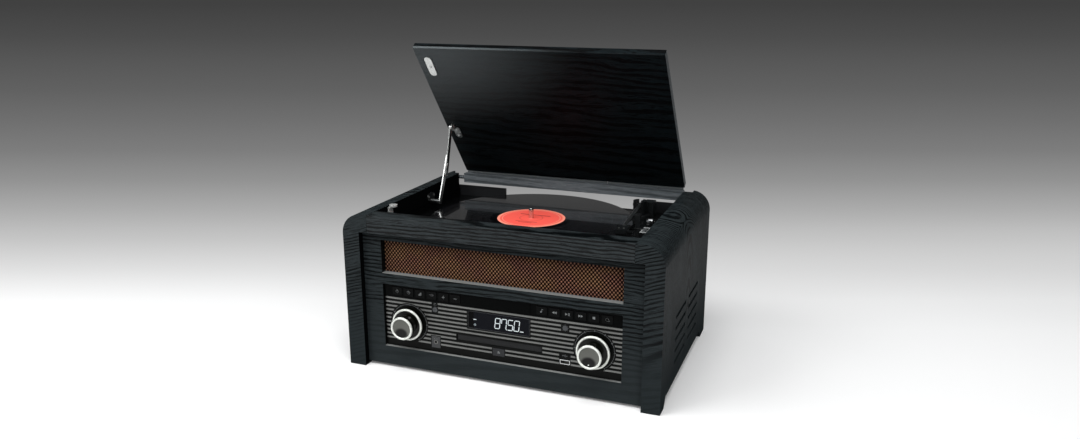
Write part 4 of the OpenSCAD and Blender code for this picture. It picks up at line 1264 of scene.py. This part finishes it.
    def knobs(self) -> None:
        """Dresses the knobs and prints the arcs and ticks round them."""
        dress(BrightRing("bright_ring").material(), "volume_rings", "tuning_rings")
        panel_y = low("fascia").y
        for body, knob in (("volume", "volume_knob"), ("tuning", "tuning_knob")):
            centre = middle(knob)
            cap = KnobCap(f"{body}_cap", (centre.x, centre.z), linear(106, 107, 102), 13.1)
            dress(cap.material(), knob)
            shape = Shape()
            plane = Vector((centre.x, panel_y, centre.z))
            shape.stroke(arc((0, 0), self.ring_radius, -60, 240, 60), 0.35, plane, X, Z, 0.05)
            for angle in range(-60, 241, 30):
                tick = math.radians(angle)
                ends = [(r * math.cos(tick), r * math.sin(tick)) for r in (self.ring_radius - 0.6, self.ring_radius + 1.4)]
                shape.stroke(ends, 0.55, plane, X, Z, 0.05)
            shape.piece(f"{body}_scale", "cabinet", self.ink)
        centre = middle("tuning_knob")
        dot = Shape()
        seat = Vector((centre.x - 0.8, low("tuning_knob").y + 1.2, centre.z - 10.9))
        dot.lathe([(1.3, 0.0), (1.3, 0.4), (0.9, 0.75), (0.3, 0.85)], seat, -Y, 20)
        dot.piece("tuning_dot", "tuning", BrightRing("dot_lacquer").material())

    def sockets(self) -> None:
        """Adds the sockets' inner pieces and the small signs beside them."""
        lowest, highest = low("front_sockets"), high("front_sockets")
        z = middle("front_sockets").z
        data_x = highest.x - self.data_width / 2
        jack_x = -data_x
        tongue = Shape()
        section = [(-5.3, 0.2), (5.3, 0.2), (5.3, 1.9), (-5.3, 1.9)]
        tongue.prism(section, Vector((data_x, lowest.y + 12.5, z)), X, Z, 9.5)
        tongue.piece("data_tongue", "cabinet", Plastic("tongue", linear(200, 202, 204), 0.4).material(), bevel=0.2)
        contacts = Shape()
        for k in range(4):
            place = Vector((data_x - 3.9 + 2.6 * k, lowest.y + 3.6, z + 0.2))
            contacts.prism([(-0.5, 0.0), (0.5, 0.0), (0.5, 7.0), (-0.5, 7.0)], place, X, Y, -0.06)
        contacts.piece("data_contacts", "cabinet", Metal("gilt", linear(214, 170, 90), 0.25).material())
        ring = Shape()
        profile = [(1.85, 0.0), (3.1, 0.0), (3.1, 0.25), (2.8, 0.45), (1.85, 0.45)]
        ring.tube(profile, Vector((jack_x, lowest.y + 0.2, z)), -Y)
        ring.piece("jack_ring", "cabinet", Metal("jack_metal", linear(120, 120, 118), 0.3, Brush.Y).material())
        self.signs(jack_x, data_x, lowest.y + 0.2, z)

    def signs(self, jack_x: float, data_x: float, plate_y: float, z: float) -> None:
        """Prints the signs by the sockets and lenses.

        Args:
            jack_x: The headphone socket's place across.
            data_x: The data socket's place across.
            plate_y: The headphone plate's face.
            z: The sockets' height.
        """
        signs = Shape()
        panel_y = low("fascia").y
        plane = Vector((jack_x, plate_y, z + 5.2))
        signs.stroke(arc((0, 0), 1.7, 0, 180, 14), 0.4, plane, X, Z, 0.05)
        for side in (-1, 1):
            cup = [(side * 1.7 + a, b) for a, b in ((-0.45, -1.4), (0.45, -1.4), (0.45, 0.2), (-0.45, 0.2))]
            signs.prism(cup, plane, X, Z, 0.05)
        plane = Vector((data_x, panel_y, z + 8.6))
        signs.stroke([(-2.6, 0), (2.6, 0)], 0.45, plane, X, Z, 0.05)
        signs.prism([(2.2, -0.8), (3.5, 0.0), (2.2, 0.8)], plane, X, Z, 0.05)
        signs.stroke([(-1.4, 0), (-0.4, 1.4), (0.9, 1.4)], 0.4, plane, X, Z, 0.05)
        signs.stroke([(-0.6, 0), (0.3, -1.3), (1.4, -1.3)], 0.4, plane, X, Z, 0.05)
        signs.prism(arc((-2.8, 0), 0.8, 0, 330, 11), plane, X, Z, 0.05)
        lens = middle("indicator_lenses")
        for x, lift in ((jack_x, 7.6), (data_x, 0.0)):
            plane = Vector((x, panel_y, lens.z + lift))
            if lift:
                signs.stroke(arc((0, 0), 2.1, 0, 360, 24), 0.5, plane, X, Z, 0.05)
                signs.stroke([(-0.9, -0.6), (-0.9, 0.8), (1.0, 0.8)], 0.4, plane, X, Z, 0.05)
            for turn in range(0, 360, 45):
                a = math.radians(turn)
                ends = [(r * math.cos(a), r * math.sin(a)) for r in (4.1, 4.6)]
                signs.stroke(ends, 0.3, Vector((x, panel_y, lens.z)), X, Z, 0.05)
        signs.piece("panel_signs", "cabinet", Flat("dim_ink", linear(112, 114, 115)).material())


@dataclass
class RecordDeck:
    """Deck, platter, record and tonearm."""

    centre: Point = field(default_factory=lambda: (middle("record").x, middle("record").y))

    def build(self) -> None:
        """Dresses the deck and adds the tonearm's and levers' small pieces."""
        dress(Plastic("deck_black", linear(10, 11, 12), 0.24, 0.02, 0.4, 0.4).material(), "deck_plate")
        dress(Turntable("platter_mat", self.centre).material(), "platter")
        dress(Vinyl("record_vinyl", self.centre).material(), "record")
        dress(Paper("label_paper", self.centre).material(), "record_label")
        dress(Metal("motor_can", linear(150, 150, 150), 0.4, Brush.Z).material(), "motor")
        dress(Metal("pulley_brass", linear(206, 170, 96), 0.25, Brush.Z).material(), "motor_pulley")
        dress(Plastic("belt_rubber", linear(24, 24, 24), 0.7).material(), "drive_belt")
        dress(Plastic("arm_plastic", linear(15, 17, 18), 0.42, 0.03).material(), "arm_drum", "headshell")
        dress(Plastic("arm_grey", linear(24, 26, 27), 0.4, 0.03).material(), "arm_base", "arm_rest")
        silver = Metal("arm_silver", linear(176, 178, 180), 0.3, Brush.Y).material()
        dress(silver, "arm_tube", "cue_lever", "speed_lever")
        for node in ("headshell", "arm_rest", "arm_base"):
            soften(node, 0.5)
        soften("cue_lever", 0.3)
        soften("record", 0.4)
        self.arm_pieces()
        self.lever_pieces()

    def arm_pieces(self) -> None:
        """Adds the drum's caps and the shell's screws."""
        drum_low, drum_high = low("arm_drum"), high("arm_drum")
        pivot = (drum_low + drum_high) / 2
        plastic = Plastic("cap_black", linear(20, 21, 22), 0.3, 0.01, 0.2).material()
        for side in (-1, 1):
            cap = Shape()
            tilt = math.radians(4)
            right = Vector((math.cos(tilt), math.sin(tilt), 0)) * side
            centre = Vector((pivot.x, pivot.y, high("arm_tube").z - 2.4)) + right * (drum_high.x - pivot.x - 0.6)
            cap.lathe([(3.0, 0), (3.0, 0.5), (2.4, 0.9), (0.8, 1.0)], centre, right, 24)
            cap.piece(f"drum_cap_{'right' if side > 0 else 'left'}", "arm_yaw", plastic)
        shell_low, shell_high = low("headshell"), high("headshell")
        tilt = Matrix.Rotation(math.radians(4), 3, "Z")
        tip = Vector((middle("headshell").x - 4.5, shell_low.y + 9.0, shell_high.z))
        screws = Shape()
        for side in (-3.4, 3.4):
            screw(screws, tip + tilt @ Vector((side, 2.0, 0)), Z, 1.3)
        screws.piece("shell_screws", "tonearm", Metal("shell_screw", linear(190, 190, 188), 0.3).material())

    def lever_pieces(self) -> None:
        """Adds the cue lever's grip and the speed selector's printed plate."""
        cue_low, cue_high = low("cue_lever"), high("cue_lever")
        grip = Shape()
        centre = Vector(((cue_low.x + cue_high.x) / 2, cue_low.y + 2.4, cue_low.z + 2.4))
        profile = [(1.2, -2.6), (2.2, -2.0), (2.4, 0.0), (2.2, 2.0), (1.2, 2.6)]
        grip.lathe(profile, centre, X, 24)
        grip.piece("cue_grip", "cue", Plastic("grip_black", linear(26, 27, 28), 0.4).material())
        slider = middle("speed_lever")
        top = 190.0
        plate = Shape()
        ring = [(-5.4, -14.2), (5.4, -14.2), (5.4, -10.3), (-5.4, -10.3)]
        for flip in (1, -1):
            outline = [(a, b * flip) for a, b in ring]
            if flip < 0:
                outline.reverse()
            plate.prism(outline, Vector((slider.x, slider.y + 5.0, top)), X, Y, 0.25)
        for side in (-1, 1):
            outline = sorted([(side * 3.0, -10.3), (side * 5.4, -10.3)])
            strip = [outline[0], outline[1], (outline[1][0], 10.3), (outline[0][0], 10.3)]
            plate.prism(strip, Vector((slider.x, slider.y + 5.0, top)), X, Y, 0.25)
        plate.piece("speed_plate", "cabinet", Plastic("speed_grey", linear(150, 152, 152), 0.45).material())


@dataclass
class Lid:
    """Open lid with its hinges, strike plate and folding stay."""

    edge: float = 0.8
    leaf_screws: int = 12
    leaf_screw_radius: float = 1.7
    plate_screw_radius: float = 1.9

    def build(self) -> None:
        """Dresses the lid and its steel, and adds the screws."""
        lowest, highest = low("lid_panel"), high("lid_panel")
        tilt = self.hinge()["range_deg"][1]
        painted_highlights = LidHighlights(highest.x, lowest.y, (lowest.x, lowest.y, highest.z), tilt)
        veneer = Veneer(
            "lid_veneer", Layout.ALONG_X_TILTED, linear(17, 25, 28), linear(0, 1, 2), ring=9.0, pith=46.0,
            slope=0.03, sway=40.0, figure=1.0, shift=120.0, tilt=tilt, paint=painted_highlights,
        )
        dress(veneer.material(), "lid_panel")
        soften("lid_panel", self.edge)
        steel = Metal("zinc_steel", linear(206, 208, 206), 0.26, Brush.Z)
        dress(steel.material(), "lower_bar", "upper_bar")
        dress(Metal("dull_steel", linear(92, 94, 94), 0.4, Brush.Z).material(), "wall_bracket")
        dress(BrightRing("catch_lacquer", linear(214, 216, 214)).material(), "lid_catch")
        plate = Metal("plate_steel", linear(214, 216, 214), 0.28, Brush.Y)
        dress(plate.material(), "strike_plate", "lid_bracket")
        dress(Plastic("hinge_paint", linear(74, 78, 80), 0.4, 0.02).material(), "lid_leaves", "rail_leaves")
        for node in ("lower_bar", "upper_bar", "wall_bracket", "lid_catch", "lid_bracket"):
            soften(node, 0.25)
        self.screws()

    def opened(self, point: Vector) -> Vector:
        """Returns where the open lid carries a point of the closed lid, in millimetres."""
        hinge = self.hinge()
        axis = Vector(hinge["pos_m"]) / MM
        return self.swing() @ (point - axis) + axis

    @staticmethod
    def hinge() -> dict:
        """Returns the lid hinge's row of the record."""
        return next(row for row in frame["record"]["behaviour"]["joints"] if row["name"] == "lid_hinge")

    def swing(self) -> Matrix:
        """Returns the turn from the closed lid to the open one."""
        return Matrix.Rotation(math.radians(-self.hinge()["range_deg"][1]), 3, "X")

    def screws(self) -> None:
        """Adds the screws of the hinge leaves, the brackets and the oval plate."""
        turn = self.swing()
        rail_low, rail_high = low("rail_leaves"), high("rail_leaves")
        leaf_y = high("rear_rail").y + 1.2
        step = (rail_high.x - rail_low.x) / self.leaf_screws
        fixed, moving = Shape(), Shape()
        for k in range(self.leaf_screws):
            x = rail_low.x + step * (k + 0.5)
            screw(fixed, Vector((x, leaf_y, rail_low.z + 5.5)), Y, self.leaf_screw_radius)
            screw(moving, self.opened(Vector((x, leaf_y, high("rear_rail").z + 6.8))), turn @ Y, self.leaf_screw_radius)
        bracket = middle("wall_bracket")
        plate_x = low("wall_bracket").x + 1.6
        for side in (-1, 1):
            place = Vector((plate_x, bracket.y + side * 8.5, high("wall_bracket").z - 5.5))
            screw(fixed, place, X, self.plate_screw_radius)
            place = Vector((high("lid_bracket").x - 5.5, 52.5 + side * 6.5, high("rear_rail").z - 0.4))
            screw(moving, self.opened(place), turn @ -Z, self.plate_screw_radius)
        place = Vector((middle("strike_plate").x, -89.0, high("rear_rail").z - 0.5))
        screw(moving, self.opened(place), turn @ -Z, self.plate_screw_radius)
        metal = Metal("screw_steel", linear(196, 198, 196), 0.3).material()
        fixed.piece("rail_screws", "cabinet", metal)
        moving.piece("lid_screws", "lid", metal)


@dataclass
class Studio:
    """Floor, backdrop, lamps and camera."""

    eye: Triple = (430.9, -1127.5, 526.7)
    yaw: float = 20.58
    pitch: float = 15.34
    focal: float = 868.2
    image_width: float = 1080.0
    wall_distance: float = 700.0

    def forward(self) -> Vector:
        """Returns the camera's level heading."""
        yaw = math.radians(self.yaw)
        return Vector((-math.sin(yaw), math.cos(yaw), 0))

    def camera(self) -> None:
        """Places the camera where the photograph was taken from."""
        data = bpy.data.cameras.new("camera")
        data.sensor_width = 36.0
        data.sensor_fit = "HORIZONTAL"
        data.lens = self.focal / self.image_width * data.sensor_width
        data.clip_start, data.clip_end = 0.05, 60.0
        camera = bpy.data.objects.new("camera", data)
        bpy.context.scene.collection.objects.link(camera)
        pitch = math.radians(self.pitch)
        ahead = self.forward() * math.cos(pitch) - Z * math.sin(pitch)
        right = self.forward().cross(Z)
        up = right.cross(ahead)
        turn = Matrix((right, up, -ahead)).transposed().to_4x4()
        camera.matrix_world = Matrix.Translation(Vector(self.eye) * MM) @ turn
        bpy.context.scene.camera = camera

    def lamp(self, name: str, place: Triple, size: float, power: float, colour: Colour) -> None:
        """Hangs a square soft lamp that looks at the object.

        Args:
            name: Its name.
            place: Where it hangs, in metres.
            size: Its side in metres.
            power: Its power in watts.
            colour: Its colour.
        """
        data = bpy.data.lights.new(name, "AREA")
        data.size = size
        data.energy = power
        data.color = colour
        lamp = bpy.data.objects.new(name, data)
        bpy.context.scene.collection.objects.link(lamp)
        lamp.location = place
        aim = Vector((0, 0, 0.15)) - lamp.location
        lamp.rotation_mode = "QUATERNION"
        lamp.rotation_quaternion = aim.to_track_quat("-Z", "Y")

    def build(self) -> None:
        """Sets the stage."""
        self.camera()
        self.lamp("key_lamp", (-1.4, -1.3, 2.0), 1.6, 38.0, (1.0, 1.0, 1.0))
        self.lamp("top_lamp", (0.2, -0.9, 2.4), 1.4, 34.0, (1.0, 1.0, 1.0))
        self.lamp("right_lamp", (1.4, -1.8, 1.5), 1.2, 16.0, (1.0, 1.0, 1.0))
        world = bpy.data.worlds.new("studio_air")
        bpy.context.scene.world = world
        world.use_nodes = True
        world.node_tree.nodes["Background"].inputs[0].default_value = (0.62, 0.63, 0.64, 1)
        world.node_tree.nodes["Background"].inputs[1].default_value = 0.4
        self.floor()
        self.backdrop()
        bpy.context.scene.view_settings.view_transform = "Standard"

    def stage_mesh(self, name: str, corners: Sequence[Vector], material: bpy.types.Material) -> None:
        """Adds a stage surface through four corners given in millimetres."""
        shape = Shape()
        shape.face(corners)
        data = bpy.data.meshes.new(name)
        shape.mesh.to_mesh(data)
        shape.mesh.free()
        made = bpy.data.objects.new(name, data)
        bpy.context.scene.collection.objects.link(made)
        data.materials.append(material)

    def heading(self, recipe: Recipe) -> Wire:
        """Returns how far a point lies ahead of the camera, on the level, in millimetres."""
        x, y, _ = recipe.places()
        ahead = self.forward()
        return x * ahead.x + y * ahead.y - (self.eye[0] * ahead.x + self.eye[1] * ahead.y)

    def seen_only(self, recipe: Recipe) -> Wire:
        """Returns 1 for rays from the camera, from gloss and through glass."""
        path = recipe.raw("ShaderNodeLightPath")
        rays = (Wire(recipe, path.outputs[name]) for name in ("Is Camera Ray", "Is Glossy Ray", "Is Transmission Ray"))
        first, second, third = rays
        return first.most(second).most(third)

    def floor(self) -> None:
        """Lays the pale floor, which fades to grey far behind the object."""
        recipe = Recipe("floor_paper")
        far = self.heading(recipe)
        share = (far - 1120.0) / 800.0
        stops = [
            (0.0, linear(252, 252, 252)), (0.18, linear(250, 250, 250)), (0.35, linear(243, 243, 243)),
            (0.55, linear(222, 222, 222)), (0.8, linear(198, 198, 198)), (0.984, linear(182, 182, 182)),
        ]
        tone = recipe.node("ShaderNodeValToRGB", {"stops": stops}, {0: share})
        seen = self.seen_only(recipe)
        even = far.above(1250.0, 1850.0) * 0.9 + 0.1
        black = (0.0, 0.0, 0.0)
        recipe.done(
            Base_Color=recipe.mixed(seen, linear(168, 168, 168), recipe.mixed(even, tone, black)),
            Roughness=0.9,
            Specular_IOR_Level=0.0,
            Emission_Color=recipe.mixed(seen * even, black, tone),
            Emission_Strength=1.0,
        )
        reach = 9000.0
        corners = [Vector((x, y, 0)) for x, y in ((-reach, -reach), (reach, -reach), (reach, reach), (-reach, reach))]
        self.stage_mesh("floor", corners, recipe.material)

    def backdrop(self) -> None:
        """Hangs the grey backdrop, which shows from its front only."""
        recipe = Recipe("backdrop_paper")
        _, _, z = recipe.places()
        share = z / 480.0
        stops = [
            (0.0, linear(182, 182, 182)), (0.06, linear(171, 171, 171)), (0.2, linear(146, 146, 146)),
            (0.34, linear(125, 125, 125)), (0.48, linear(111, 111, 111)), (0.62, linear(97, 97, 97)),
            (0.75, linear(87, 87, 87)), (0.86, linear(76, 76, 76)), (1.0, linear(65, 65, 65)),
        ]
        tone = recipe.node("ShaderNodeValToRGB", {"stops": stops}, {0: share})
        glow = recipe.raw("ShaderNodeEmission", None, {"Color": tone, "Strength": 1.0})
        clear = recipe.raw("ShaderNodeBsdfTransparent")
        geometry = recipe.raw("ShaderNodeNewGeometry")
        front = 1.0 - Wire(recipe, geometry.outputs["Backfacing"])
        shown = self.seen_only(recipe) * front
        blend = recipe.raw("ShaderNodeMixShader", None, {0: shown})
        recipe.tree.links.new(clear.outputs[0], blend.inputs[1])
        recipe.tree.links.new(glow.outputs[0], blend.inputs[2])
        recipe.tree.links.new(blend.outputs[0], recipe.output.inputs[0])
        recipe.tree.nodes.remove(recipe.shader)
        ahead = self.forward()
        right = ahead.cross(Z)
        eye_level = Vector((self.eye[0], self.eye[1], 0))
        start = ahead * (eye_level.dot(ahead) + self.level_distance() + self.wall_distance)
        reach = 6000.0
        corners = [start - right * reach, start + right * reach, start + right * reach + Z * 3000, start - right * reach + Z * 3000]
        self.stage_mesh("backdrop", corners, recipe.material)

    def level_distance(self) -> float:
        """Returns the level distance from the camera to the object's middle, along its heading."""
        return -Vector((self.eye[0], self.eye[1], 0)).dot(self.forward())


def main() -> None:
    """Builds the whole scene."""
    logging.basicConfig(level=logging.INFO, format="%(message)s")
    Studio().build()
    Cabinet().build()
    ControlPanel().build()
    RecordDeck().build()
    Lid().build()


if __name__ == "__main__":
    main()
